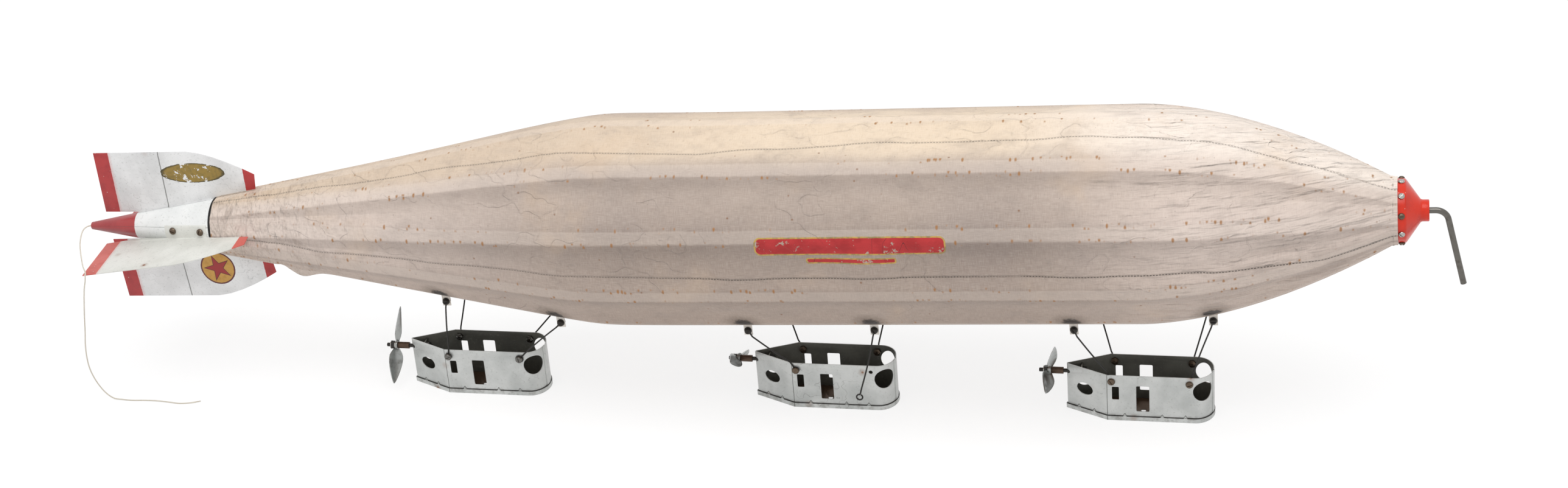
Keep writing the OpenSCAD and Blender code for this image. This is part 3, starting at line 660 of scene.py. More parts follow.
@dataclass(frozen=True)
class CoverCloth:
    """Old cotton cloth with sewn seams, smudges, rust marks, a worn painted stripe, and painted light and
    shade.
    """

    name: str = "cover_cloth"
    base: str = "A6958A"
    grey: str = "9B8C84"
    cream: str = "F1DCC2"
    stitch: float = 0.0029
    hem_x: float = 1.3388
    stripe: tuple[float, float] = (0.8335, 0.0235)
    bars: tuple[tuple[float, float, float], ...] = ((0.092, 0.0086, 0.0), (0.043, 0.0022, -0.0165))
    stain_and_shade_r: float = 0.0105

    def painted_stripe(self, g: ClothGraph, colour: object) -> Socket:
        """Lays the worn red bars with their gilt edges over a colour.

        Args:
            g: the material's graph.
            colour: the cloth's colour.

        Returns:
            The colour with the bars.
        """
        gilt = g.mottled("C9A75A", "9A8A5C", 200, 0.4, 0.65)
        red = g.mottled("C2383A", "AE2E30", 60, 0.35, 0.7)
        crack = g.scratches(g.stretched((1, 1, 0.25)), 60, 0.008)
        red = g.tint(red, g.times(crack, g.ease(g.noise(24), 0.5, 0.6)), 1, "3A2426")
        red = g.tint(red, g.ease(g.noise(80, 6, 0.75), 0.585, 0.62), 1, "B8A89A")
        u = g.minus(g.along, self.stripe[0])
        for half, height, shift in self.bars:
            v = g.minus(g.around, self.stripe[1] + shift)
            edge = height * 0.6
            past = (
                g.math("MAXIMUM", g.minus(g.size(value), limit), 0.0)
                for value, limit in ((u, half - edge), (v, height - edge))
            )
            away = g.wobble(g.hypot(*past), 0.0004, 260)
            colour = g.mix(g.ease(away, edge + 0.0013, edge + 0.0010), colour, gilt)
            colour = g.mix(g.ease(away, edge - 0.0002, edge - 0.0005), colour, red)
        return colour

    def marks(self, g: ClothGraph, colour: object) -> Socket:
        """Adds smudges, rust marks by the strips, painted shade under the strips, a painted highlight along
        them, and stains with painted shade by the brackets.

        Args:
            g: the material's graph.
            colour: the cloth's colour.

        Returns:
            The marked colour.
        """
        edge = g.wobble(g.strip, 0.0009, 30)
        # Painted shade: a darker band just under each strip, where the slack cloth sags inwards.
        under = g.times(g.ease(edge, -0.029, -0.0088), g.ease(edge, -0.0066, -0.0084))
        place = g.combine(g.times(g.along, 0.9), g.times(g.strip, 0.3), g.times(g.around, 0.3))
        by_edge = g.band(g.minus(g.size(g.strip), 0.0072), 0.0016, 0.0022)
        cluster = g.ease(g.grain(9, 34, 2, 0.5), 0.44, 0.5)
        mottle = g.ease(g.grain(75, 48, 5, 0.7), 0.5, 0.68)
        away = g.wobble(g.hypot(*(g.times(offset, 1 / self.stain_and_shade_r) for offset in g.uv("slot"))), 0.35, 330)
        for share, strength, code in (
            (g.ease(g.grain(15, 36, 4, 0.6), 0.5, 0.72), 0.2, "9C8F88"),
            (g.ease(g.grain(34, 44, 5, 0.7), 0.45, 0.75), 0.26, "8D817A"),
            (g.ease(g.noise(11, 4), 0.56, 0.74), 0.3, "DCC0A2"),
            (g.ease(g.noise(34, 5, 0.7), 0.62, 0.76), 0.35, "8F8882"),
            # Painted shade under each strip, left off near the top.
            (g.times(under, g.ease(g.rise, 0.9, 0.78)), 0.26, "85776F"),
            # Painted highlight along each strip, where the cloth is drawn tight.
            (g.band(edge, 0.0055, 0.002), 0.2, "F6E8DC"),
            (g.times(g.spots(215, 0.12, 0.34, 0.9, place), by_edge, cluster), 0.85, "A8743F"),
            (g.spots(46, 0.02, 0.075, 0.5), 0.75, "8A6244"),
            (g.spots(150, 0.03, 0.12, 0.35), 0.4, "6F675F"),
            (g.times(mottle, g.ease(g.along, 0.4, 0.17)), 0.42, "8E7B6E"),
            # A stain round each bracket.
            (g.ease(away, 2.3, 0.8), 0.55, "7A6A5C"),
            # Painted shade: the dark slot where the bracket comes through the cloth.
            (g.ease(away, 1.1, 0.6), 0.95, "2E2621"),
        ):
            colour = g.tint(colour, share, strength, code)
        return colour

    def tones(self, g: ClothGraph, threads: object) -> Socket:
        """Shades the bare cloth: pale at its ends, cream on top and greyer at its sides; the tones by height
        round the hull are painted light and shade, and the cream on top is partly the cloth's own tone.

        Args:
            g: the material's graph.
            threads: the weave, high on the thick threads.

        Returns:
            The bare cloth's colour.
        """
        rise = g.wobble(g.rise, 0.05, 14)
        ends = g.math("MAXIMUM", g.ease(g.along, 0.62, 0.24), g.ease(g.along, 0.98, 1.18))
        colour = g.tint(g.mottled(self.base, self.grey, 7, 0.38, 0.66), ends, 0.85, "E6D5CB")
        # Painted light: a lighter tint towards the top.
        colour = g.tint(colour, g.ease(rise, 0.25, 0.7), 0.34, "DCCABC")
        # Cream on top: partly the cloth's own tone and partly painted light.
        cream = g.mix(g.ease(g.along, 0.45, 0.8), srgb("DCC6AE"), srgb(self.cream))
        cream = g.tint(cream, g.ease(g.along, 0.95, 1.15), 1, "FFF2E6")
        colour = g.mix(g.times(g.ease(rise, 0.78, 0.95), 0.9), colour, cream)
        # Painted light: a lighter tone on the underside than on the darker sides.
        colour = g.tint(colour, g.ease(g.rise, 0.4, -0.7), 0.6, "BFAC9F")
        colour = g.tint(colour, g.ease(threads, 0.42, 0.66), 0.15, "FFF6EA")
        return g.tint(colour, g.ease(threads, 0.5, 0.3), 0.25, "8C7F76")

    def wrinkles(self, g: ClothGraph) -> None:
        """Raises the slack cloth, its puckers and folds at the nose and its rumples at the tail.

        Args:
            g: the material's graph.
        """
        nose = g.ease(g.along, 1.0, 1.16)
        folds = g.scratches(g.stretched((8, 36, 1), g.flat), 1.0, 0.12)
        crease = g.scratches(g.stretched((26, 34, 1), g.flat), 1.0, 0.02)
        g.bump(g.grain(32, 50, 4, 0.6), 0.0034, 0.7)
        g.bump(g.times(g.grain(11, 75, 3, 0.55), nose), 0.0095, 0.9)
        g.bump(g.times(folds, nose), 0.0013, 0.8)
        g.bump(g.times(g.grain(70, 34, 3, 0.6), g.ease(g.along, 0.4, 0.17)), 0.011, 1.0)
        g.bump(g.times(crease, g.ease(g.noise(9), 0.45, 0.6)), 0.0007, 0.8)

    def material(self) -> Material:
        """Builds the cloth's material.

        Returns:
            The material.
        """
        g = ClothGraph(self.name)
        threads = g.times(g.math("ADD", g.grain(110, 1500, 3, 0.6), g.grain(1500, 110, 3, 0.6)), 0.5)
        colour = self.painted_stripe(g, self.marks(g, self.tones(g, threads)))
        dash = g.math("LESS_THAN", g.math("FRACT", g.math("DIVIDE", g.along, self.stitch)), 0.62)
        worn = g.ease(g.noise(9, 3), 0.30, 0.42)
        thread = g.times(g.band(g.seam, 0.00028, 0.00022), dash, worn)
        shadow = g.band(g.seam, 0.0005, 0.0012)
        bold = g.times(g.ease(g.along, 0.62, 0.72), g.ease(g.around, 0.04, 0.02))
        colour = g.tint(colour, g.times(shadow, g.math("MULTIPLY_ADD", bold, 0.2, 0.14)), 1, "85796F")
        colour = g.tint(colour, g.times(thread, g.math("MULTIPLY_ADD", bold, 0.35, 0.5)), 1, "443C36")
        hem = g.band(g.minus(g.wobble(g.along, 0.0006, 60), self.hem_x), 0.0002, 0.0007)
        colour = g.tint(colour, g.times(hem, g.ease(g.noise(70, 4), 0.42, 0.6)), 0.7, "6B6157")
        g.surface(Base_Color=colour, Roughness=0.93, Sheen_Weight=0.12, Sheen_Roughness=0.5)
        self.wrinkles(g)
        g.bump(threads, 0.00022, 0.8)
        g.bump(g.minus(thread, shadow), 0.0006, 0.8)
        return g.material


@dataclass(frozen=True)
class CottonCord:
    """White laid cotton, greyer in the hollows of its fuzz."""

    name: str = "white_cord"

    def material(self) -> Material:
        """Builds the cord's material.

        Returns:
            The material.
        """
        g = Graph(self.name)
        fuzz = g.noise(2600, 4, 0.7)
        colour = g.mix(g.ease(fuzz, 0.35, 0.65), srgb("D8D0C0"), srgb("F4EFE4"))
        g.surface(Base_Color=colour, Roughness=0.95, Sheen_Weight=0.2)
        g.bump(fuzz, 0.0002, 0.8)
        return g.material


# Workshop


class Element(Enum):
    """What a test picks in edit mode."""

    POINT = "VERT"
    FACE = "FACE"


def deselect() -> None:
    """Deselects every object."""
    for item in bpy.context.selected_objects:
        item.select_set(False)


def chosen(piece: Piece) -> None:
    """Selects one piece alone."""
    deselect()
    piece.select_set(True)
    bpy.context.view_layer.objects.active = piece


def linked(name: str, data: bpy.types.ID) -> Piece:
    """Puts a mesh, curve, lamp or camera into the scene as an object."""
    item = bpy.data.objects.new(name, data)
    bpy.context.scene.collection.objects.link(item)
    return item


def start(kind: str, name: str, **settings: object) -> Piece:
    """Adds a primitive to be shaped, with its place in its mesh.

    Args:
        kind: bpy's name of the primitive.
        name: the piece's name.
        settings: the primitive's size and place.

    Returns:
        The new piece.
    """
    deselect()
    getattr(bpy.ops.mesh, f"primitive_{kind}_add")(**settings)
    piece = bpy.context.active_object
    piece.name = name
    piece.data.name = name
    piece.data.transform(piece.matrix_world)
    piece.matrix_world = Matrix.Identity(4)
    return piece


def block(name: str, size: Sequence[float], at: Sequence[float] = (0, 0, 0)) -> Piece:
    """Makes a block of a size round a place, in mm.

    Args:
        name: its name.
        size: its three sides.
        at: its middle.

    Returns:
        The block.
    """
    piece = start("cube", name, size=1)
    piece.data.transform(Matrix.Diagonal((*(side * MM for side in size), 1)))
    piece.data.transform(Matrix.Translation([place * MM for place in at]))
    return piece


class Bench:
    """Edit mode on one piece, whose points or faces are picked by a test."""

    def __init__(self, piece: Piece) -> None:
        """Keeps the piece."""
        self.piece = piece

    def __enter__(self) -> "Bench":
        """Opens edit mode with nothing selected."""
        chosen(self.piece)
        bpy.ops.object.mode_set(mode="EDIT")
        bpy.ops.mesh.select_all(action="DESELECT")
        return self

    def __exit__(self, *problem: object) -> None:
        """Goes back to object mode."""
        bpy.ops.object.mode_set(mode="OBJECT")

    def pick(self, element: Element, test: Callable[[Vector, Vector], bool]) -> None:
        """Selects the elements that pass a test, and nothing else.

        Args:
            element: what to select.
            test: gets an element's middle and its normal.
        """
        bpy.ops.mesh.select_mode(type=element.value)
        bpy.ops.mesh.select_all(action="DESELECT")
        mesh = bmesh.from_edit_mesh(self.piece.data)
        for face in mesh.faces if element is Element.FACE else ():
            face.select_set(test(face.calc_center_median(), face.normal))
        for point in mesh.verts if element is Element.POINT else ():
            point.select_set(test(point.co, point.normal))
        mesh.select_flush_mode()
        bmesh.update_edit_mesh(self.piece.data)

    def everything(self) -> None:
        """Selects the whole piece."""
        bpy.ops.mesh.select_mode(type="VERT")
        bpy.ops.mesh.select_all(action="SELECT")

    def cut(self, x: float) -> None:
        """Cuts the whole piece across at x, in metres."""
        self.everything()
        bpy.ops.mesh.bisect(plane_co=(x, 0, 0), plane_no=(1, 0, 0), threshold=1e-6)

    def outwards(self) -> None:
        """Turns every face outwards."""
        self.everything()
        bpy.ops.mesh.normals_make_consistent(inside=False)

    def weld(self, distance: float = 1e-6) -> None:
        """Merges points that lie together and turns every face outwards."""
        self.everything()
        bpy.ops.mesh.remove_doubles(threshold=distance)
        self.outwards()


def modified(piece: Piece, kind: str, **settings: object) -> None:
    """Adds a modifier to a piece and applies it.

    Args:
        piece: the piece.
        kind: bpy's name of the modifier.
        settings: its settings.
    """
    step = piece.modifiers.new(kind.lower(), kind)
    for key, value in settings.items():
        setattr(step, key, value)
    deselect()
    bpy.context.view_layer.objects.active = piece
    bpy.ops.object.modifier_apply(modifier=step.name)


def bevelled(piece: Piece, width: float, degrees: float = 35, segments: int = 2) -> None:
    """Rounds a piece's sharp edges by width in metres."""
    modified(
        piece, "BEVEL", width=width, segments=segments, limit_method="ANGLE",
        angle_limit=math.radians(degrees), use_clamp_overlap=True,
    )


def punched(piece: Piece, tool: Piece, **settings: object) -> None:
    """Cuts a tool out of a piece and removes the tool."""
    modified(piece, "BOOLEAN", operation="DIFFERENCE", object=tool, solver="EXACT", **settings)
    bpy.data.objects.remove(tool)


def smooth(piece: Piece, degrees: float = 35) -> None:
    """Shades a piece smoothly over edges flatter than an angle."""
    chosen(piece)
    bpy.ops.object.shade_smooth_by_angle(angle=math.radians(degrees))


def turned(name: str, profile: Sequence[tuple[float, float]], place: Matrix, segments: int = 48) -> Piece:
    """Spins a closed profile about an axis, ring by ring.

    Args:
        name: the piece's name.
        profile: radius and height of each ring in mm, from the axis back to it or to the first ring.
        place: where the axis' foot and direction, local +Z, lie in the part.
        segments: sides of each ring.

    Returns:
        The closed turned piece.
    """
    least = 1e-4
    rings = [(max(radius, least) * MM, height * MM) for radius, height in profile]
    piece = start("circle", name, vertices=segments, radius=rings[0][0], location=(0, 0, rings[0][1]))
    with Bench(piece) as bench:
        bench.everything()
        for (before, low), (radius, height) in zip(rings, rings[1:], strict=False):
            bpy.ops.mesh.extrude_edges_move(TRANSFORM_OT_translate={"value": (0, 0, height - low)})
            share = radius / before
            bpy.ops.transform.resize(value=(share, share, 1), center_override=(0, 0, height))
        bench.weld(3e-7)
    piece.data.transform(place)
    return piece


def drawn(name: str, path: Iterable[Vector], diameter: float) -> Piece:
    """Bends a round wire along a path.

    Args:
        name: the piece's name.
        path: points along its middle, in mm.
        diameter: its thickness, in mm.

    Returns:
        The wire as a mesh.
    """
    points = list(path)
    curve = bpy.data.curves.new(name, "CURVE")
    curve.dimensions = "3D"
    curve.bevel_depth = diameter / 2 * MM
    curve.bevel_resolution = 4 if diameter < 3 else 10
    curve.use_fill_caps = True
    spline = curve.splines.new("POLY")
    spline.points.add(len(points) - 1)
    for point, place in zip(spline.points, points, strict=True):
        point.co = (*(place * MM), 1)
    chosen(linked(name, curve))
    bpy.ops.object.convert(target="MESH")
    wire = bpy.context.active_object
    smooth(wire, 50)
    return wire


def aimed(at: Vector, toward: Vector, turn: float = 0.0) -> Matrix:
    """Places a model at a point in metres, with its local +Z toward a direction and turned about it."""
    quaternion = toward.normalized().to_track_quat("Z", "Y")
    return Matrix.Translation(at) @ quaternion.to_matrix().to_4x4() @ Matrix.Rotation(turn, 4, "Z")


def joined(name: str, pieces: Iterable[Piece]) -> Piece:
    """Joins pieces into one, under a name.

    Args:
        name: the joined piece's name.
        pieces: the pieces.

    Returns:
        The joined piece.
    """
    parts = list(pieces)
    deselect()
    for part in parts:
        part.select_set(True)
    bpy.context.view_layer.objects.active = parts[0]
    if len(parts) > 1:
        bpy.ops.object.join()
    parts[0].name = name
    parts[0].data.name = name
    return parts[0]


def copies(model: Piece, places: Iterable[Matrix]) -> list[Piece]:
    """Copies a model to each place and removes the model.

    Args:
        model: the model, built round its origin.
        places: a matrix for each copy.

    Returns:
        The copies, each with its own mesh.
    """
    made = []
    for place in places:
        copy = linked(model.name, model.data.copy())
        copy.data.transform(place)
        made.append(copy)
    bpy.data.objects.remove(model)
    return made


def softened(node: str, name: str, width: float) -> Piece:
    """Copies a CAD node with its triangles merged and its edges rounded.

    Args:
        node: the CAD node.
        name: the copy's name.
        width: how far its edges are rounded, in metres.

    Returns:
        The copy.
    """
    piece = linked(name, frame["nodes"][node].data.copy())
    with Bench(piece) as bench:
        bench.everything()
        bpy.ops.mesh.remove_doubles(threshold=2e-6)
        bpy.ops.mesh.dissolve_limited(angle_limit=math.radians(0.6))
    bevelled(piece, width)
    smooth(piece)
    return piece


def dress(piece: Piece, *materials: Material) -> None:
    """Gives a piece its materials, keeping which face has which slot.

    Args:
        piece: the piece.
        materials: its materials, by slot.
    """
    slots = [polygon.material_index for polygon in piece.data.polygons]
    piece.data.materials.clear()
    for material in materials:
        piece.data.materials.append(material)
    if len(materials) > 1:
        piece.data.polygons.foreach_set("material_index", [min(s, len(materials) - 1) for s in slots])


def fit(piece: Piece, body: str, slot: str, node: str, *materials: Material) -> None:
    """Dresses a piece and makes it ride on a body.

    Args:
        piece: the piece, in its place.
        body: the body's name.
        slot: the record's material slot; not used.
        node: the CAD node that the piece stands for.
        materials: its materials.
    """
    dress(piece, *materials)
    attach(piece, body)
    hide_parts(node)
    log.info("%s on %s: %d faces", piece.name, body, len(piece.data.polygons))


# Camera and studio


@dataclass(frozen=True)
class CameraRig:
    """The camera at the photograph's viewing angle."""

    place: tuple[float, float, float] = (0.62046, -2.42525, 1.53190)
    forward: tuple[float, float, float] = (-0.20454206, 0.85465513, -0.47720767)
    up: tuple[float, float, float] = (-0.02917211, 0.48197594, 0.87569868)
    lens_mm: float = 65.27
    sensor_mm: float = 36.0

    def build(self) -> None:
        """Makes the scene's camera."""
        data = bpy.data.cameras.new("camera")
        data.lens, data.sensor_width = self.lens_mm, self.sensor_mm
        camera = linked("camera", data)
        ahead, up = Vector(self.forward).normalized(), Vector(self.up).normalized()
        turn = Matrix((ahead.cross(up), up, -ahead)).transposed().to_4x4()
        camera.matrix_world = Matrix.Translation(self.place) @ turn
        bpy.context.scene.camera = camera


@dataclass(frozen=True)
class Studio:
    """A pale floor, an even white surround and one broad soft lamp overhead."""

    surround: float = 0.62
    floor_glow: float = 0.74
    lamp_watts: float = 34.0
    lamp_size: tuple[float, float] = (3.0, 1.6)
    lamp_place: tuple[float, float, float] = (0.15, -0.75, 2.45)
    floor_side: float = 14.0

    def floor(self) -> None:
        """Lays the floor, whose own glow only the camera, reflections and glass see."""
        g = Graph("floor_white")
        path = g.add("ShaderNodeLightPath").outputs
        direct = g.math("MAXIMUM", path["Is Camera Ray"], path["Is Glossy Ray"])
        seen = g.math("MAXIMUM", direct, path["Is Transmission Ray"])
        g.surface(Base_Color=g.mix(seen, srgb("F0F0F0"), srgb("A0A0A0")), Roughness=1.0)
        g.surface(Emission_Color=(1, 1, 1, 1), Emission_Strength=g.times(seen, self.floor_glow))
        g.surface(Specular_IOR_Level=0.0)
        floor = start("plane", "floor", size=self.floor_side, location=(0, 0, 0))
        dress(floor, g.material)

    def world(self) -> None:
        """Makes the white surround, which lights less than it shows."""
        world = bpy.data.worlds.new("surround")
        world.use_nodes = True
        tree = world.node_tree
        back = tree.nodes["Background"]
        path = tree.nodes.new("ShaderNodeLightPath")
        direct = tree.nodes.new("ShaderNodeMath")
        direct.operation = "MAXIMUM"
        level = tree.nodes.new("ShaderNodeMapRange")
        level.inputs["To Min"].default_value = self.surround
        level.inputs["To Max"].default_value = 1.0
        back.inputs["Color"].default_value = (1, 1, 1, 1)
        for source, socket in (
            (path.outputs["Is Camera Ray"], direct.inputs[0]),
            (path.outputs["Is Glossy Ray"], direct.inputs[1]),
            (direct.outputs[0], level.inputs["Value"]),
            (level.outputs[0], back.inputs["Strength"]),
        ):
            tree.links.new(source, socket)
        bpy.context.scene.world = world

    def build(self) -> None:
        """Makes the floor, the world and the lamp."""
        self.floor()
        self.world()
        data = bpy.data.lights.new("overhead", "AREA")
        data.shape = "RECTANGLE"
        data.size, data.size_y = self.lamp_size
        data.energy = self.lamp_watts
        place = Vector(self.lamp_place)
        linked("overhead", data).matrix_world = aimed(place, place - Vector((0, 0, 0.15)))
        bpy.context.scene.view_settings.view_transform = "Standard"


# Tail cord


@dataclass
class TailCord:
    """The cotton cord: three twisted strands from the tail tip to the floor; sizes in mm."""

    diameter: float = 1.6
    lay_pitch: float = 5.2
    step: float = 0.65
    strands: int = 3
    strand_sides: int = 6
    strand_share: float = 0.235
    offset_share: float = 0.265
    frayed_l: float = 5.0
    route: tuple[tuple[float, float, float], ...] = (
        (-703.5, 0, 175), (-708, -1, 174.8), (-711, -6, 174), (-710, -16, 172.5), (-704, -34, 171),
        (-694, -55, 170), (-684, -74, 168.5), (-678, -83, 166.8), (-676.5, -87, 164.5),
        (-677.5, -88, 158), (-681, -88, 146), (-687, -86, 120), (-693, -82, 95), (-698, -79, 75),
        (-701, -76, 56), (-702, -72, 39), (-699, -69, 23), (-694, -66, 10), (-687, -64.5, 2.5),
        (-679, -64, 0.9), (-667, -65, 0.9), (-651, -64, 0.9), (-637, -64, 0.9), (-624, -65.5, 0.9),
        (-612, -67, 0.9), (-600, -65, 0.9), (-590, -60.5, 0.9),
    )

    def line(self) -> Array:
        """Draws a smooth curve through the route.

        Returns:
            Evenly close points along it, in mm.
        """
        p = np.array(self.route, float)
        p = np.vstack([2 * p[0] - p[1], p, 2 * p[-1] - p[-2]])
        points = []
        for a, b, c, d in zip(p, p[1:], p[2:], p[3:], strict=False):
            count = max(1, round(float(np.linalg.norm(c - b)) / self.step))
            square, cube = 2 * a - 5 * b + 4 * c - d, 3 * b - a - 3 * c + d
            steps = np.arange(count) / count
            points += [(2 * b + (c - a) * t + square * t**2 + cube * t**3) / 2 for t in steps]
        return np.array([*points, p[-2]])

    def strand(self, hearts: Array, radii: Array, side: Array, other: Array) -> tuple[list, list]:
        """Rounds one strand.

        Args:
            hearts: points along its middle, in mm.
            radii: its radius at each.
            side: a direction across it at each.
            other: the direction across that one.

        Returns:
            Its points and faces.
        """
        n, count = self.strand_sides, len(hearts)
        points = []
        for heart, radius, u, v in zip(hearts, radii, side, other, strict=True):
            for a in 2 * np.pi * np.arange(n) / n:
                points.append(heart + radius * (u * np.cos(a) + v * np.sin(a)))
        corners = [(k * n + i, k * n + (i + 1) % n) for k in range(count - 1) for i in range(n)]
        faces = [(a, b, b + n, a + n) for a, b in corners]
        return points, [*faces, tuple(range(n - 1, -1, -1)), tuple(range((count - 1) * n, count * n))]

    def build(self, finish: CottonCord) -> None:
        """Args:
            finish: the cord's finish.
        """
        line = self.line()
        along = unit(np.gradient(line, axis=0))
        side = unit(np.cross(along, (0.3, 0.2, 1.0)))
        other = np.cross(side, along)
        run = run_of(line)
        rest = np.clip((run[-1] - run) / self.frayed_l, 0, 1)
        radii = self.diameter * self.strand_share * (0.35 + 0.65 * np.sqrt(rest))
        offset = (self.diameter * self.offset_share * (1 + 0.15 * (1 - rest)))[:, None]
        points, faces = [], []
        for strand in range(self.strands):
            turn = (2 * np.pi * (run / self.lay_pitch + strand / self.strands))[:, None]
            hearts = line + offset * (side * np.cos(turn) + other * np.sin(turn))
            more, patches = self.strand(hearts, radii, side, other)
            faces += [tuple(len(points) + corner for corner in patch) for patch in patches]
            points += more
        mesh = bpy.data.meshes.new("cotton_cord")
        mesh.from_pydata([tuple(p * MM) for p in points], [], faces)
        cord = linked("cotton_cord", mesh)
        with Bench(cord) as bench:
            bench.outwards()
        smooth(cord, 60)
        fit(cord, Body.HULL.value, "white_cord", "tail_cord", finish.material())


# Cloth cover


@dataclass
class Cover:
    """The sewn cloth, drawn over ten strips and gathered at its seams and nose; sizes in mm."""

    start_x: float = 147.0
    tuck_x: float = 1337.0
    tuck_l: float = 3.6
    hull_r: float = 106.5
    nose_r: float = 32.5
    tuck_r: float = 31.45
    shoulder: float = 4.0
    nose_start: float = 1102.0
    nose_l: float = 235.0
    nose_power: float = 1.73
    thickness: float = 0.8
    strip_count: int = 10
    strip_w: float = 15.0
    hem_x: float = 1331.0
    step: float = 3.55
    sag: float = 3.0
    stain_and_shade_rise: float = 6.5
    girth_share: float = 0.995
    ring_x: tuple[float, ...] = (265, 406, 529, 724, 852, 1049, 1183, 1277)
    bracket_x: tuple[float, ...] = (392, 515, 710, 838, 1035, 1169)
    bracket_angles: tuple[float, float] = (-54.0, -126.0)
    upper_seam: tuple[tuple[float, float], ...] = (
        (158, 72), (230, 72), (430, 70.5), (500, 69), (680, 66), (805, 70.7),
        (900, 72.5), (1100, 74), (1215, 70.5), (1310, 66), (1343, 65),
    )
    lower_seam: tuple[tuple[float, float], ...] = (
        (158, 2), (222, 1), (270, -5), (500, -5), (700, -7), (1000, -6.7),
        (1160, -7), (1215, -9.6), (1250, -12.4), (1275, -17.8), (1343, -20),
    )
    seam_count: int = 5
    panel_steps: tuple[float, ...] = (0.07, 0.18, 0.31, 0.42, 0.5, 0.58, 0.69, 0.82, 0.93)
    flat_steps: tuple[float, ...] = (-1.0, -0.5, 0.0, 0.5, 1.0)
    hem_steps: tuple[float, ...] = (1331, 1332, 1334, 1336, 1337, 1338.3, 1339.6, 1340.6, 1341.8, 1343)

    def radius(self, x: Array) -> Array:
        """Gives the hull's radius at its strips, at distances from the tail tip.

        Args:
            x: the distances.

        Returns:
            The radii in mm.
        """
        cone = cone_r(x)
        gap = np.sqrt((cone - self.hull_r) ** 2 + self.shoulder**2)
        full = (cone + self.hull_r - gap) / 2
        ahead = np.clip(x - self.nose_start, 0, None) / self.nose_l
        hull = full - (self.hull_r - self.nose_r) * ahead**self.nose_power
        tuck = np.interp(x, [self.tuck_x, self.tuck_x + self.tuck_l], [self.nose_r, self.tuck_r])
        return np.where(x <= self.tuck_x, hull, tuck)

    def stations(self) -> Array:
        """Spaces the rings of points from the rear edge to the hem over the cap."""
        last = self.hem_x - 1
        count = round((last - self.start_x) / self.step)
        return np.concatenate([np.linspace(self.start_x, last, count), self.hem_steps])

    def columns(self) -> Array:
        """Lists the points round a ring.

        Returns:
            Three rows: each point's strip's angle, its place across the strip from -1 to 1, and how
            far it is over the panel to the next strip from 0 to 1.
        """
        made = []
        for k in range(self.strip_count):
            angle = FIRST_STRIP + STRIP_TURN * k
            made += [(angle, s, 0.0) for s in self.flat_steps]
            made += [(angle, 1.0, t) for t in self.panel_steps]
        return np.array(made).T

    def lay_out(self) -> dict[str, Array]:
        """Places every point of the cover.

        Returns:
            Arrays of one row for each ring: the place, and the values that the cloth's maps need.
        """
        x = self.stations()
        angle, across, over = (row[None, :] for row in self.columns())
        angle = np.radians(angle)
        panel = 2 * math.pi / self.strip_count
        r = self.radius(x)[:, None]

        def corner(turn: Array, shift: Array) -> Array:
            """Places points at a strip's angle, shifted across it."""
            out = shift * self.strip_w / 2
            return np.stack([r * np.cos(turn) - out * np.sin(turn), r * np.sin(turn) + out * np.cos(turn)])

        y, z = corner(angle, across) * (1 - over) + corner(angle + panel, -np.ones_like(across)) * over
        face = angle + panel * over
        turn, reach = np.degrees(np.arctan2(z, y)), np.hypot(y, z)
        push = self.folds(x[:, None], turn, over, reach)
        return {
            "x": np.repeat(x[:, None], y.shape[1], axis=1), "y": y + push * np.cos(face),
            "z": z + push * np.sin(face), "turn": turn, "reach": reach,
        }

    def folds(self, x: Array, turn: Array, over: Array, reach: Array) -> Array:
        """Measures how far the cloth stands out from its flat panels.

        Args:
            x: distance of each ring from the tail tip.
            turn: angle of each point.
            over: how far each point is over its panel.
            reach: distance of each point from the axis.

        Returns:
            The push outwards in mm.
        """
        bow = 4 * over * (1 - over)
        to_ring = np.min(np.abs(x - np.array(self.ring_x)[None, :]), axis=1)[:, None]
        slack = 0.35 + self.sag * smoothstep(4, 46, to_ring)
        push = -slack * smoothstep(self.start_x, self.start_x + 60, x) * bow * (reach / self.hull_r)
        places = np.stack([np.broadcast_to(x, turn.shape), turn, np.zeros_like(turn)], -1).reshape(-1, 3)

        def waves(along: float, around: float, shift: Sequence[float], octaves: int) -> Array:
            """Samples noise by how fast it changes along and around."""
            return fractal(places * (along, around, 0) + shift, octaves).reshape(turn.shape)

        push += 0.75 * waves(0.011, 0.05, (3.1, 7.7, 0), 3) * bow
        nose = smoothstep(1085, 1190, x) * (1 - smoothstep(1300, 1336, x))
        wave = waves(0.0085, 0.115, (0, 0, 5.3), 3)
        push += nose * bow**0.5 * (3.8 * wave + 1.5 * np.clip(1 - np.abs(wave) * 3.2, -1, 1))
        rear = (1 - smoothstep(200, 330, x)) * smoothstep(self.start_x, self.start_x + 15, x)
        push += 1.9 * rear * waves(0.03, 0.06, (9, 2, 1), 2) * bow
        for k in range(self.seam_count):
            seam, _ = self.seam_gap(k, x[:, 0], turn, reach)
            pucker = np.sin(2 * np.pi * (x / 10.5 + 2.2 * np.sin(x / 61.0 + k) + 0.01 * seam))
            strong = 0.22 + 0.45 * np.clip(np.sin(x / 83.0 + 2.1 * k), 0, 1)
            strong = strong + 0.35 * smoothstep(1120, 1200, x) * (1 - smoothstep(1290, 1330, x))
            push += strong * pucker * hump(seam, 0, 9.0) * smoothstep(1.0, 4.0, np.abs(seam))
        push = np.maximum(push, -bow * (0.45 + 3.2 * smoothstep(6, 42, to_ring)))
        push += 4.0 * hump(x, 500, 110.0) * np.clip(np.sin(np.radians(turn)), 0, 1) ** 1.5
        push += 7.0 * hump(x, 236, 15.0) * hump(turn, -64, 13.0)
        push -= 2.2 * hump(x, 214, 5.0) * hump(turn, -60, 12.0)
        return np.where(x > self.hem_x - 2, 0.5 * smoothstep(self.tuck_x, self.tuck_x + 1.4, x), push)

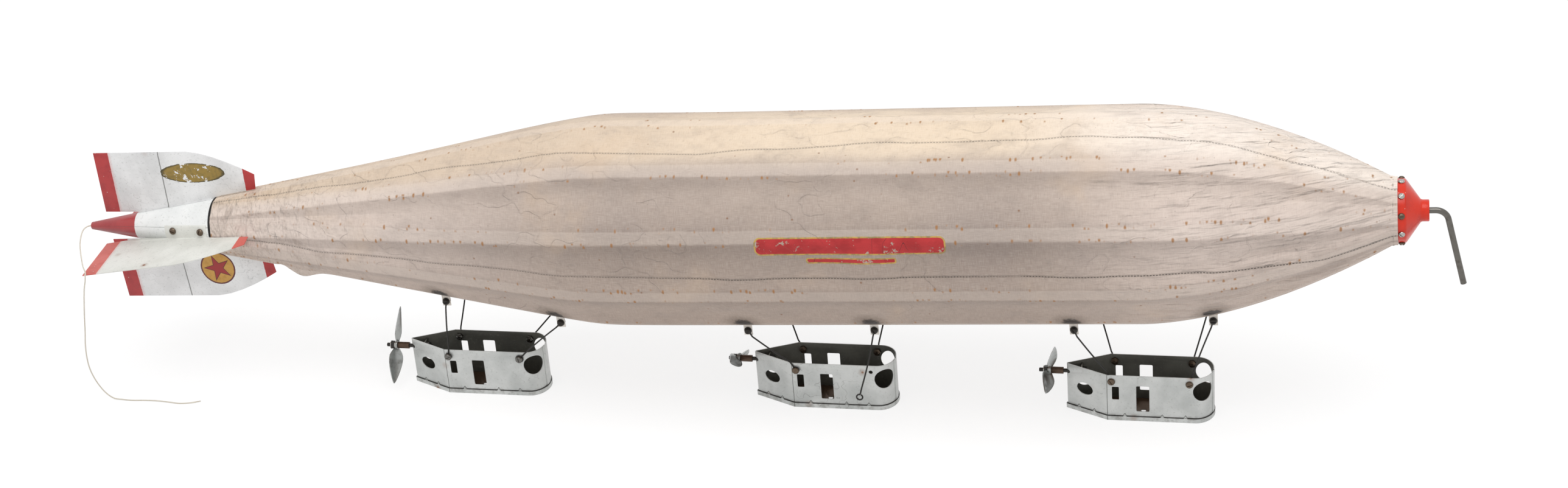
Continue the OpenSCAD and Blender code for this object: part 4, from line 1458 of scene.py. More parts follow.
    def seam_gap(self, k: int, x: Array, turn: Array, reach: Array) -> tuple[Array, Array]:
        """Measures the distance round the hull from a seam.

        Args:
            k: which seam, 0 for the one on the near side and then upwards.
            x: distance of each ring from the tail tip.
            turn: angle of each point.
            reach: distance of each point from the axis.

        Returns:
            The signed distance in mm and the seam's angle at each ring.
        """
        if k < 2:
            table = np.array((self.lower_seam, self.upper_seam)[k])
            angle = np.interp(x, table[:, 0], table[:, 1])
        else:
            angle = 72.0 * k + 2.5 * np.sin(x / 210.0 + k)
        return np.radians(wrapped(turn - angle[:, None])) * reach, angle

    def build(self, finish: CoverCloth) -> None:
        """Args:
            finish: the cloth's finish.
        """
        net = self.lay_out()
        rings, columns = net["x"].shape
        local = np.stack([net["x"], -net["y"], net["z"]], -1) * MM
        matrix = np.array(HULL.matrix())
        points = local @ matrix[:3, :3].T + matrix[:3, 3]
        j, i = np.meshgrid(np.arange(rings - 1), np.arange(columns), indexing="ij")
        after = (i + 1) % columns
        corners = [(j, i), (j + 1, i), (j + 1, after), (j, after)]
        faces = np.stack([a * columns + b for a, b in corners], -1).reshape(-1, 4)
        mesh = bpy.data.meshes.new("cloth_cover")
        mesh.from_pydata(points.reshape(-1, 3).tolist(), [], faces.tolist())
        cover = linked("cloth_cover", mesh)
        rise = mesh.attributes.new("rise", "FLOAT", "POINT")
        rise.data.foreach_set("value", np.sin(np.radians(net["turn"])).reshape(-1))
        self.draw_maps(mesh, net, corners)
        modified(cover, "SOLIDIFY", thickness=self.thickness * MM, offset=-1.0, use_rim=True)
        smooth(cover, 62)
        fit(cover, Body.HULL.value, "cover_cloth", "envelope_cover", finish.material())

    def draw_maps(self, mesh: bpy.types.Mesh, net: dict[str, Array], corners: list) -> None:
        """Gives the cloth maps of its length, its seams, its strips and its bracket slots.

        Args:
            mesh: the cover's mesh.
            net: the points' values.
            corners: ring and column of each face's four corners.
        """

        def at(values: Array) -> Array:
            """Reads values at each face's corners."""
            return np.stack([values[a, b] for a, b in corners], -1)

        def store(name: str, u: Array, v: Array) -> None:
            """Writes a map, from mm."""
            layer = mesh.uv_layers.new(name=name, do_init=False)
            layer.data.foreach_set("uv", np.stack([u, v], -1).astype(np.float32).reshape(-1) * MM)

        def closest(choices: list[Array], gaps: list[Array]) -> Array:
            """Picks for each face the choice with the smallest gap."""
            index = np.argmin(np.stack(gaps), axis=0)[None, ..., None]
            return np.take_along_axis(np.stack(choices), index, axis=0)[0]

        x, turn, reach = net["x"][:, 0], net["turn"], net["reach"]
        angle, far, forward = at(turn), at(reach), at(net["x"])
        first = angle[..., :1]
        spread = wrapped(angle - first)
        angle = first + spread
        store("cloth", np.radians(angle) * far, forward)
        gaps = []
        for k in range(self.seam_count):
            _, seam = self.seam_gap(k, x, turn, reach)
            seam = np.stack([seam[a] for a, _ in corners], -1)
            away = wrapped(first - seam[..., :1]) + spread - (seam - seam[..., :1])
            gaps.append(np.radians(away) * far)
        store("seam", closest(gaps, [np.abs(gap[..., 0]) for gap in gaps]), forward)
        middle = angle.mean(-1)
        strip = np.round((middle - FIRST_STRIP) / STRIP_TURN) * STRIP_TURN + FIRST_STRIP
        upward = np.sign(np.cos(np.radians(middle)))[..., None]
        store("strip", np.radians(angle - strip[..., None]) * far * upward, forward)
        across, ahead = [], []
        for bracket in self.bracket_x:
            for seat in self.bracket_angles:
                above = self.stain_and_shade_rise if seat > -90 else -self.stain_and_shade_rise
                across.append(np.radians(wrapped(first - seat) + spread) * far - above)
                ahead.append(forward - bracket)
        sizes = [np.hypot(u, v).mean(-1) for u, v in zip(ahead, across, strict=True)]
        store("slot", closest(ahead, sizes), closest(across, sizes))
        mesh.uv_layers["cloth"].active = True


# Fasteners and wires


@dataclass(frozen=True)
class RoundScrew:
    """A round-headed slotted screw with its nut, built along +Z from under its head; sizes in mm."""

    head_d: float = 7.6
    head_h: float = 2.9
    shank_d: float = 4.0
    nut_t: float = 3.0
    nut_af: float = 7.0
    past_nut: float = 0.8
    slot_w: float = 0.9
    slot_depth: float = 1.1
    rim_h: float = 0.35
    chamfer: float = 0.4

    def model(self, name: str, grip: float, nut: bool = True) -> Piece:
        """Models one screw.

        Args:
            name: its name.
            grip: what it clamps, in mm.
            nut: whether a nut shows on its end.

        Returns:
            The screw round its origin.
        """
        r, shank = self.head_d / 2, self.shank_d / 2
        end = -grip - (self.nut_t + self.past_nut if nut else 0.0)
        rise = self.head_h - self.rim_h
        dome = [(r * math.cos(a), self.rim_h + rise * math.sin(a)) for a in np.radians(range(0, 90, 15))]
        foot = [(0, end), (shank - self.chamfer, end), (shank, end + 0.5), (shank, 0), (r - 0.15, 0)]
        screw = turned(name, [*foot, *dome, (0, self.head_h)], Matrix.Identity(4), 28)
        slot = (2 * self.head_d, self.slot_w, 2 * self.slot_depth)
        punched(screw, block("slot_cutter", slot, (0, 0, self.head_h)))
        smooth(screw, 32)
        if not nut:
            return screw
        hexagon = start(
            "cylinder", "nut", vertices=6, radius=self.nut_af / 2 / math.cos(math.pi / 6) * MM,
            depth=self.nut_t * MM, location=(0, 0, (-grip - self.nut_t / 2) * MM),
        )
        bevelled(hexagon, 0.35 * MM, 50)
        smooth(hexagon, 30)
        return joined(name, [screw, hexagon])


@dataclass(frozen=True)
class HookWire:
    """A link wire with an eye turned at each end; sizes in mm."""

    wire_d: float = 1.6
    eye_r: float = 3.05
    high_bend: float = 8.0
    low_bend: float = 10.3
    parts: int = 14

    def eye(self, heart: Vector, stem: Vector, slack: float = 0.0) -> list[Vector]:
        """Turns the wire round an eye.

        Args:
            heart: the eye's middle.
            stem: direction from the middle towards the wire.
            slack: how much wider than a snug eye it is.

        Returns:
            Points from the stem round to the wire's end.
        """
        across = stem.cross(Vector((0, 1, 0)))
        turns = np.radians([10, 22, *range(36, 345, 14)])
        r = self.eye_r + slack
        ring = [heart + r * (math.cos(a) * stem + math.sin(a) * across) for a in turns]
        return [heart + stem * (r + 1.5), heart + stem * (r + 0.45) + across * 0.12, *ring]

    def wire(self, name: str, high: Vector, low: Vector, bow: float, slack: float = 0.0) -> Piece:
        """Bends one wire between two eyes.

        Args:
            name: its name.
            high: the upper eye's middle, in mm.
            low: the lower eye's middle, in mm.
            bow: how far its middle is bent out of line, in mm.
            slack: how much wider than a snug eye the lower one is, in mm.

        Returns:
            The wire as a mesh.
        """
        down = Vector((low.x - high.x, 0, low.z - high.z)).normalized()
        upper, lower = high + down * self.high_bend, low - down * self.low_bend
        across = down.cross(Vector((0, 1, 0)))
        shares = [k / self.parts for k in range(self.parts + 1)]
        lean = [upper.lerp(lower, t) + across * bow * math.sin(math.pi * t) for t in shares]
        eyes = self.eye(high, down), self.eye(low, -down, slack)
        return drawn(name, [*reversed(eyes[0]), *lean, *eyes[1]], self.wire_d)


@dataclass
class Suspension:
    """The brackets under the hull and the wires between them and the gondolas; sizes in mm."""

    rear_bracket_x: tuple[float, ...] = (392, 710, 1035)
    front_bracket_x: tuple[float, ...] = (515, 838, 1169)
    eye_span: float = 77
    tab_side: float = 8.3
    tab_drop: float = 5.5
    tab_t: float = 1.0
    eye_t: float = 1.5
    gap: float = 0.2
    open_slack: float = 0.45
    loose_lean: float = 14
    wire: HookWire = field(default_factory=HookWire)
    screw: RoundScrew = field(default_factory=lambda: RoundScrew(head_d=6.8))

    @property
    def eye_out(self) -> float:
        """Distance of a wire's upper eye outwards from its tab's middle plane."""
        return self.tab_t / 2 + self.gap + self.eye_t / 2

    def low_out(self, k: int, side: int) -> float:
        """Gives a lower eye's distance from the gondola's middle: inside the front one's near wall.

        Args:
            k: which gondola, 0 for the rear one.
            side: -1 for the near side and 1 for the far one.

        Returns:
            The distance in mm.
        """
        path = SheetPath()
        if k == 2 and side < 0:
            return path.width / 2 - path.sheet - 2 * self.gap - self.eye_t / 2
        return path.width / 2 + self.gap + self.eye_t / 2

    def tab_place(self, x: float, side: int, out: float) -> Vector:
        """Places the hole of a bracket's tab.

        Args:
            x: the bracket's distance from the tail tip.
            side: -1 for the near side and 1 for the far one.
            out: distance outwards from the tab's middle plane.

        Returns:
            The place in the part, in mm.
        """
        r = float(np.interp(x, *self.skin()))
        step = math.radians(STRIP_TURN)
        y = r * math.sin(step) - self.tab_side * math.cos(step) + out
        z = -r * math.cos(step) - self.tab_side * math.sin(step) - self.tab_drop
        return HULL.matrix() @ (Vector((x, side * y, z)) * MM) / MM

    def skin(self) -> tuple[Array, Array]:
        """Lists the solid hull's stations, between which its sides are straight.

        Returns:
            Their distances from the tail tip and the radius at each.
        """
        cover = Cover()
        full = (cover.hull_r - CONE_TIP_R) / math.tan(math.radians(CONE_SLOPE))
        shoulder = [full + away for away in (-60, -30, -12, 2, 18, 50)]
        nose = [cover.nose_start + cover.nose_l * k / 12 for k in range(13)]
        x = np.array([cover.start_x, *shoulder, *nose])
        return x, cover.radius(x)

    def build(self, finishes: "Finishes") -> None:
        """Makes the wires, brackets and bracket screws.

        Args:
            finishes: the materials.
        """
        grip = self.tab_t + 2 * self.gap + self.eye_t
        for k in GONDOLAS:
            n = k + 1
            brackets = (self.rear_bracket_x[k], self.front_bracket_x[k])
            sway = Vector(SWAYS[k]) / MM
            for end, bracket_x, eye_x, sides, slack in (
                ("rear", brackets[0], sway.x, SIDES, 0.0),
                ("front", brackets[1], sway.x + self.eye_span, (1,) if k == 1 else SIDES, self.open_slack),
            ):
                wires = [
                    self.wire.wire(
                        f"{end}_wire_{n}", self.tab_place(bracket_x, side, self.eye_out),
                        Vector((eye_x, side * self.low_out(k, side), sway.z)), 0.5 * side, slack,
                    )
                    for side in sides
                ]
                links = joined(f"{end}_wires_{n}", wires)
                fit(links, f"{end}_links_{n}", "link_wire", f"{end}_links_{n}", finishes.wire)
            tabs = softened(f"link_brackets_{n}", f"bracket_tabs_{n}", 0.25 * MM)
            fit(tabs, Body.HULL.value, "bracket_tin", f"link_brackets_{n}", finishes.bracket)
            places = [
                aimed(
                    self.tab_place(x, side, self.tab_t / 2 + 2 * self.gap + self.eye_t) * MM,
                    Vector((0, side, 0)), 0.5 + 1.1 * index + 0.4 * side + k,
                )
                for index, x in enumerate(brackets) for side in SIDES
            ]
            screws = joined(f"bracket_bolts_{n}", copies(self.screw.model("bracket_screw", grip), places))
            fit(screws, Body.HULL.value, "dark_screw_steel", f"bracket_screws_{n}", finishes.dark_screw)
        self.build_loose(finishes)

    def build_loose(self, finishes: "Finishes") -> None:
        """Hangs the wire that has come off the middle gondola.

        Args:
            finishes: the materials.
        """
        high = self.tab_place(self.front_bracket_x[1], -1, self.eye_out)
        sway = Vector(SWAYS[1]) / MM
        length = (high - Vector((sway.x + self.eye_span, -self.low_out(1, -1), sway.z))).length
        lean = math.radians(self.loose_lean)
        low = high - length * Vector((math.sin(lean), 0, math.cos(lean)))
        wire = self.wire.wire("loose_wire", high, low, 0.9)
        fit(wire, Body.LOOSE_LINK.value, "link_wire", "loose_link", finishes.wire)


# Gondolas


@dataclass
class SheetPath:
    """A strip of sheet metal folded round a gondola's plan; sizes in mm."""

    width: float = 42.0
    stern_l: float = 44.0
    side_l: float = 86.0
    bow_l: float = 18.0
    sheet: float = 0.8
    knee_r: float = 2.4
    tip_r: float = 1.1
    start_angle: float = -9.0
    overlap: float = 14.0

    def corners(self) -> list[tuple[float, float, float]]:
        """Lists the plan's corners from the bow's near side round to itself, with their bend radii.

        Returns:
            Distance ahead, distance to the far side and bend radius of each.
        """
        half = self.width / 2 - self.sheet / 2
        back = self.sheet / 2 / math.sin(math.atan(self.width / 2 / self.stern_l))
        knee = back + half * self.stern_l / (self.width / 2)
        bow = self.stern_l + self.side_l
        front = self.bow_l - self.sheet / 2
        ends = (self.start_angle, -90.1), (90.0, self.start_angle - self.overlap - 0.1)
        near, far = (
            [(bow + front * math.cos(a), half * math.sin(a), 0.0) for a in np.radians(np.arange(*end, -4.0))]
            for end in ends
        )
        return [*near, (bow, -half, 0.0), (knee, -half, self.knee_r), (back, 0.0, self.tip_r),
                (knee, half, self.knee_r), (bow, half, 0.0), *far]

    def line(self) -> Array:
        """Rounds the corners.

        Returns:
            The path's points.
        """
        corners = self.corners()
        made = [Vector(corners[0][:2])]
        for before, here, after in zip(corners, corners[1:], corners[2:], strict=False):
            heart = Vector(here[:2])
            arms = [(Vector(p[:2]) - heart).normalized() for p in (before, after)]
            opening = arms[0].angle(arms[1], math.pi)
            reach = here[2] / math.tan(opening / 2) if here[2] else 0.0
            if not reach:
                made.append(heart)
                continue
            middle = heart + (arms[0] + arms[1]).normalized() * here[2] / math.sin(opening / 2)
            first, last = heart + arms[0] * reach - middle, heart + arms[1] * reach - middle
            turn = first.angle_signed(last)
            count = max(3, round(math.degrees(abs(turn)) / 13))
            for k in range(count + 1):
                made.append(middle + Matrix.Rotation(-turn * k / count, 2) @ first)
        made.append(Vector(corners[-1][:2]))
        points = [made[0]]
        for point in made[1:]:
            if (point - points[-1]).length > 0.02:
                points.append(point)
        return np.array(points)

    def frames(self) -> tuple[Array, Array, Array]:
        """Measures the path.

        Returns:
            The distance along it, its points, and its outward normals.
        """
        line = self.line()
        ahead = unit(np.diff(line, axis=0))
        before, after = np.vstack([ahead[:1], ahead]), np.vstack([ahead, ahead[-1:]])
        bisector = unit(before + after)
        stretch = 1 / np.sum(bisector * after, axis=1, keepdims=True)
        return run_of(line), line, np.stack([bisector[:, 1], -bisector[:, 0]], -1) * -stretch

    def outline(self, out: float) -> list[tuple[float, float]]:
        """Draws the plan's outside, moved outwards by a distance.

        Args:
            out: the distance.

        Returns:
            The plan's points.
        """
        wider = SheetPath(sheet=-2 * out, knee_r=self.knee_r + out, tip_r=self.tip_r + out, start_angle=0.0)
        ring = [tuple(p) for p in wider.line()]
        while math.dist(ring[0], ring[-1]) < 1.0 or ring[-1][1] < 0.5 and ring[-1][0] > 100:
            ring.pop()
        return ring


@dataclass
class Gondola:
    """One gondola: folded wall, floor pan, bearing, screws and its propeller; sizes in mm."""

    index: int
    height: float = 51.5
    rim_h: float = 4.8
    rim_gap: float = 0.1
    rim_points: tuple[float, ...] = (30, 61, 98)
    point_half: float = 1.1
    point_h: float = 1.5
    slot_x: tuple[float, ...] = (78, 86)
    eye_x: tuple[float, float] = (48, 125)
    eye_z: float = 44.2
    eye_d: float = 4.2
    openings: tuple[tuple[float, float, tuple[float, float], float], ...] = (
        (52, 31, (7, 15), 1.0), (79, 25.3, (13, 29.5), 1.2), (20.6, 28, (18.3925, 13.6), 0),
    )
    port_angle: float = 60
    port_z: float = 35.5
    port_d: float = 22
    screw_out: float = 22.9
    inner_screw_out: float = 21.05
    screw_grip: float = 2.55
    path: SheetPath = field(default_factory=SheetPath)
    lap: float = 6.0
    edge: float = 0.22
    prop_turn: tuple[float, float, float] = (-38, 66, 93)

    @property
    def at(self) -> Vector:
        """The stern tip's place over the floor."""
        return Vector((SWAYS[self.index][0] / MM - STERN_TO_SWAY, 0, 0))

    @property
    def body(self) -> str:
        """The frame's body that it is."""
        return f"gondola_{self.index + 1}"

    @property
    def bow_x(self) -> float:
        """Where the straight sides end and the round bow starts."""
        return self.path.stern_l + self.path.side_l

    def moved(self, piece: Piece) -> Piece:
        """Puts a piece made round the stern tip into its place."""
        piece.data.transform(Matrix.Translation(self.at * MM))
        return piece

    def run_at(self, x: float, side: int) -> float:
        """Finds the distance along the folded strip of a place on one side."""
        run, line, _ = self.path.frames()
        wanted = (line[:, 1] * side > 0.5) & (line[:, 0] < self.bow_x + 1)
        order = np.argsort(line[wanted, 0])
        return float(np.interp(x, line[wanted, 0][order], run[wanted][order]))

    def bow_run(self, angle: float) -> float:
        """Finds the distance along the strip of an angle round the bow, negative on the near side.

        Args:
            angle: the angle in degrees.

        Returns:
            The distance along the strip.
        """
        run, line, _ = self.path.frames()
        half_t = self.path.sheet / 2
        across, ahead = self.path.width / 2 - half_t, self.path.bow_l - half_t
        a = np.degrees(np.arctan2(line[:, 1] / across, (line[:, 0] - self.bow_x) / ahead))
        wanted = (line[:, 0] > self.bow_x + 0.5) & (np.sign(line[:, 1]) == np.sign(angle))
        order = np.argsort(a[wanted])
        return float(np.interp(angle, a[wanted][order], run[wanted][order]))

    def cutter(self, run: float, z: float, size: tuple[float, float], corner: float = 0) -> Piece:
        """Makes a punch with rounded corners, to cut the flat strip.

        Args:
            run: its middle's distance along the strip.
            z: its middle's height.
            size: its width and height; both are the diameter where the corner is 0.
            corner: radius of its corners, or 0 for an oval.

        Returns:
            The punch.
        """
        if corner:
            punch = block("punch", (size[0], 8, size[1]))
            bevelled(punch, corner * MM, 57, 4)
        else:
            punch = start(
                "cylinder", "punch", vertices=40, radius=0.5 * MM, depth=8 * MM, rotation=(math.pi / 2, 0, 0)
            )
            punch.data.transform(Matrix.Diagonal((size[0], 1, size[1], 1)))
        punch.data.transform(Matrix.Translation((run * MM, 0, z * MM)))
        return punch

    def strip(self) -> Piece:
        """Punches the openings in a flat strip and scores it where it will be folded.

        Returns:
            The flat strip: length along X, thickness along Y and height along Z.
        """
        run, _, _ = self.path.frames()
        end, t = run[-1], self.path.sheet
        low, high = t + 0.03, self.height
        flat = block("wall_strip", (end, t, high - low), (end / 2, 0, (high + low) / 2))
        punches = []
        eye, port = (self.eye_d, self.eye_d), (self.port_d, self.port_d)
        for side in SIDES:
            punches += [
                *(self.cutter(self.run_at(x, side), z, size, corner) for x, z, size, corner in self.openings),
                self.cutter(self.bow_run(self.port_angle * side), self.port_z, port),
                *(self.cutter(self.run_at(x, side), self.eye_z, eye) for x in self.eye_x),
            ]
        tip = sum(self.run_at(1.2, side) for side in SIDES) / 2
        punches.append(self.cutter(tip, Propeller.shaft_z, (7.6, 5)))
        punches.append(self.cutter(end, 0, (2 * self.lap, 11.4), 0.3))
        tool = joined("punches", punches)
        with Bench(tool) as bench:
            bench.outwards()
        punched(flat, tool, use_self=True)
        with Bench(flat) as bench:
            for place in run[1:-1]:
                bench.cut(place * MM)
            bench.weld()
        return flat

    def wall(self) -> Piece:
        """Folds the punched strip round the plan.

        Returns:
            The wall, with slot 0 outside and 1 inside.
        """
        strip = self.strip()
        run, line, normal = self.path.frames()
        mesh = strip.data
        flat = np.empty(len(mesh.vertices) * 3)
        mesh.vertices.foreach_get("co", flat)
        flat = flat.reshape(-1, 3) / MM
        s = np.clip(flat[:, 0], 0, run[-1])
        lap = smoothstep(run[-1] - self.lap - 1.5, run[-1] - self.lap, s)
        depth = flat[:, 1] + lap * (0.62 + (np.abs(flat[:, 1] - 0.4) - 0.4) * 0.3)
        spread = [np.interp(s, run, line[:, i]) + depth * np.interp(s, run, normal[:, i]) for i in (0, 1)]
        folded = np.stack([*spread, flat[:, 2]], -1) * MM
        inner = [int(p.normal.y < -0.5) for p in mesh.polygons]
        mesh.vertices.foreach_set("co", folded.reshape(-1))
        mesh.polygons.foreach_set("material_index", inner)
        mesh.update()
        with Bench(strip) as bench:
            bench.outwards()
        bevelled(strip, self.edge * MM, 50)
        smooth(strip, 28)
        strip.name = f"wall_{self.index + 1}"
        return self.moved(strip)

    def pan(self) -> Piece:
        """Turns up the rim of the floor pan, with small points along it.

        Returns:
            The pan.
        """
        t = self.path.sheet * MM
        ring = self.path.outline(self.path.sheet + self.rim_gap)
        pan = start("circle", f"floor_pan_{self.index + 1}", vertices=len(ring), radius=1, fill_type="NGON")
        for vertex, place in zip(pan.data.vertices, ring, strict=True):
            vertex.co = (place[0] * MM, place[1] * MM, 0)

        def on_top(middle: Vector, normal: Vector) -> bool:
            """Tells whether a face is part of the top."""
            return abs(normal.z) > 0.9 and middle.z > 0.5 * t

        def on_rim(middle: Vector, normal: Vector) -> bool:
            """Tells whether a face is part of the top's rim, which lies round its middle face."""
            return on_top(middle, normal) and not (abs(middle.y) < 5 * MM and 20 * MM < middle.x < 140 * MM)

        with Bench(pan) as bench:
            bench.outwards()
            bpy.ops.mesh.extrude_region_move(TRANSFORM_OT_translate={"value": (0, 0, t)})
            bench.pick(Element.FACE, on_top)
            bpy.ops.mesh.inset(thickness=t, depth=0)
            bench.pick(Element.FACE, on_rim)
            bpy.ops.mesh.extrude_region_move(TRANSFORM_OT_translate={"value": (0, 0, self.rim_h * MM - t)})
            top = (self.rim_h - 0.1) * MM
            for x in self.rim_points:
                for cut in (x - self.point_half, x, x + self.point_half):
                    bench.cut(cut * MM)
                bench.pick(Element.POINT, lambda p, _, x=x: abs(p.x - x * MM) < 1e-5 and p.z > top)
                bpy.ops.transform.translate(value=(0, 0, self.point_h * MM))
            bench.weld()
        cutters = [block("slot", (5, 3, 4), (x, -3, 0)) for x in self.slot_x]
        for cutter in cutters:
            bevelled(cutter, 1.3 * MM, 57, 4)
        punched(pan, joined("slots", cutters))
        bevelled(pan, self.edge * MM, 40)
        smooth(pan, 35)
        return self.moved(pan)

    def screws(self) -> Piece:
        """Puts in the screws that the wires hang on, with one missing and one seated inwards.

        Returns:
            The screws as one piece.
        """
        places = []
        for side in SIDES:
            for k, x in enumerate(self.eye_x):
                if (self.index, side, k) == (1, -1, 1):
                    continue
                out = self.inner_screw_out if self.index == 2 and side < 0 else self.screw_out
                at = self.at + Vector((x, side * out, self.eye_z))
                places.append(aimed(at * MM, Vector((0, side, 0)), 0.4 + 1.3 * k + 0.9 * self.index))
        screw = RoundScrew().model("gondola_screw", self.screw_grip)
        return joined(f"gondola_bolts_{self.index + 1}", copies(screw, places))

    def build(self, finishes: "Finishes") -> None:
        """Makes the gondola and its propeller.

        Args:
            finishes: the materials.
        """
        n = self.index + 1
        paint = finishes.gondolas[self.index]
        fit(self.wall(), self.body, "gondola_silver", f"gondola_wall_{n}", paint, finishes.gondola_inside)
        fit(self.pan(), self.body, "gondola_silver", f"gondola_floor_{n}", paint)
        bearing = softened(f"shaft_bearing_{n}", f"bearing_plate_{n}", 0.25 * MM)
        fit(bearing, self.body, "dark_steel", f"shaft_bearing_{n}", finishes.dark_steel)
        metal = finishes.grey_screw if self.index == 0 else finishes.brown_screw
        fit(self.screws(), self.body, "gondola_screw_nickel", f"gondola_screws_{n}", metal)
        Propeller(self).build(finishes)


@dataclass
class Propeller:
    """A two-bladed propeller with its shaft, washers, spacer and nuts; sizes in mm."""

    gondola: Gondola
    shaft_z: float = 42.5
    hub_x: float = -15.0
    hub_t: float = 2.4
    hub_d: float = 10.4
    shaft_d: float = 4.0
    shaft_ends: tuple[float, float] = (-26, 24)
    nut_half: float = 4
    sheet: float = 0.9
    camber: float = 0.14
    stations: tuple[tuple[float, float, float], ...] = (
        (3.6, 3.0, 47), (6.0, 4.6, 46), (8.5, 6.4, 45), (11.5, 7.8, 43), (15, 8.3, 41), (19, 8.1, 39),
        (23.5, 7.3, 37), (28, 6.1, 36), (32, 4.8, 35), (35.5, 3.4, 34), (38.2, 2.2, 33), (40, 1.0, 33),
        (40.7, 0.4, 33),
    )

    def blade(self) -> Piece:
        """Draws a blade out from its root, station by station, along +Z with the shaft along X.

        Returns:
            The blade.
        """
        radius, half, pitch = self.stations[0]
        blade = start("grid", "blade", x_subdivisions=8, y_subdivisions=1, size=2)

        def turn_back(degrees: float) -> None:
            """Turns what is selected round the blade's own axis."""
            bpy.ops.transform.rotate(value=-math.radians(degrees), orient_axis="Z", center_override=(0, 0, 0))

        with Bench(blade) as bench:
            bench.pick(Element.POINT, lambda point, _: point.y > 0)
            bpy.ops.mesh.delete(type="VERT")
            bench.everything()
            bpy.ops.transform.resize(value=(half * MM, 1, 1), center_override=(0, 0, 0))
            bpy.ops.transform.translate(value=(0, 1, 0))
            for point in bmesh.from_edit_mesh(blade.data).verts:
                point.co.y = self.camber * half * MM * (1 - (point.co.x / half / MM) ** 2) * 2
            bmesh.update_edit_mesh(blade.data)
            turn_back(90 + pitch)
            bpy.ops.transform.translate(value=(0, 0, radius * MM))
            for (_, last, turn), (out, wide, after) in zip(self.stations, self.stations[1:], strict=False):
                top = bmesh.from_edit_mesh(blade.data)
                rise = out * MM - max(point.co.z for point in top.verts)
                bpy.ops.mesh.extrude_edges_move(TRANSFORM_OT_translate={"value": (0, 0, rise)})
                share = wide / last
                bpy.ops.transform.resize(value=(share, share, 1), center_override=(0, 0, 0))
                turn_back(after - turn)
            bench.weld(1e-7)
        modified(blade, "SOLIDIFY", thickness=self.sheet * MM, offset=0.0)
        bevelled(blade, 0.2 * MM, 50)
        smooth(blade, 45)
        return blade

    def placed(self, x: float) -> Matrix:
        """Places a turned piece with its foot at x on the shaft, pointing forwards."""
        at = self.gondola.at + Vector((x, 0, self.shaft_z))
        return aimed(at * MM, Vector((1, 0, 0)))

    def ring(self, name: str, x: float, t: float, outer: float, inner: float, sides: int = 40) -> Piece:
        """Turns a washer, tube or nut.

        Args:
            name: the piece's name.
            x: where it starts on the shaft.
            t: its length.
            outer: its outside radius.
            inner: its bore's radius.
            sides: 4 for a square nut.

        Returns:
            The ring.
        """
        profile = [(inner, 0), (outer, 0), (outer, t), (inner, t), (inner, 0)]
        piece = turned(name, profile, Matrix.Identity(4), sides)
        if sides == 4:
            piece.data.transform(Matrix.Rotation(math.radians(9 * (self.gondola.index + 1)), 4, "Z"))
        bevelled(piece, min(0.3, t / 4) * MM, 40)
        smooth(piece, 30)
        piece.data.transform(self.placed(x))
        return piece

    def build(self, finishes: "Finishes") -> None:
        """Makes the blades, hub, shaft and everything on it.

        Args:
            finishes: the materials.
        """
        n = self.gondola.index + 1
        body = f"propeller_{n}"
        turn = math.radians(self.gondola.prop_turn[self.gondola.index])
        heart = Matrix.Translation((self.gondola.at + Vector((self.hub_x, 0, self.shaft_z))) * MM)
        places = [heart @ Matrix.Rotation(turn + half, 4, "X") for half in (0.0, math.pi)]
        blades = copies(self.blade(), places)
        r = self.shaft_d / 2
        bore = r + 0.01
        behind, ahead = self.hub_x - self.hub_t / 2, self.hub_x + self.hub_t / 2
        hub = self.ring("hub", behind, self.hub_t, self.hub_d / 2, bore)
        blades = joined(f"blades_{n}", [hub, *blades])
        fit(blades, body, "propeller_tin", f"propeller_{n}", finishes.propeller)
        rear, front = self.shaft_ends
        rim = [(r - 0.4, rear), (r, rear + 0.4), (r, front - 0.4), (r - 0.4, front)]
        profile = [(0, rear), *rim, (0, front), (0, rear)]
        shaft = turned(f"shaft_{n}", profile, self.placed(0), 28)
        smooth(shaft, 30)
        fit(shaft, body, "dark_steel", f"propeller_shaft_{n}", finishes.dark_screw)
        corner = self.nut_half / math.cos(math.pi / 4)
        for name, x, t, outer, sides, finish in (
            ("spacer", ahead, 12.3, 3.5, 40, finishes.copper),
            ("front_washer", behind - 0.9, 0.9, 4.5, 40, finishes.nickel),
            ("rear_washer", behind - 5.4, 0.9, 4.5, 40, finishes.nickel),
            ("outer_nut", behind - 4.5, 3.6, corner, 4, finishes.dark_screw),
            ("inner_nut", 17.6, 3.6, corner, 4, finishes.dark_screw),
        ):
            ring = self.ring(f"{name}_{n}", x, t, outer, bore, sides)
            fit(ring, body, "dark_steel", f"shaft_nuts_{n}", finish)


# Nose and tail


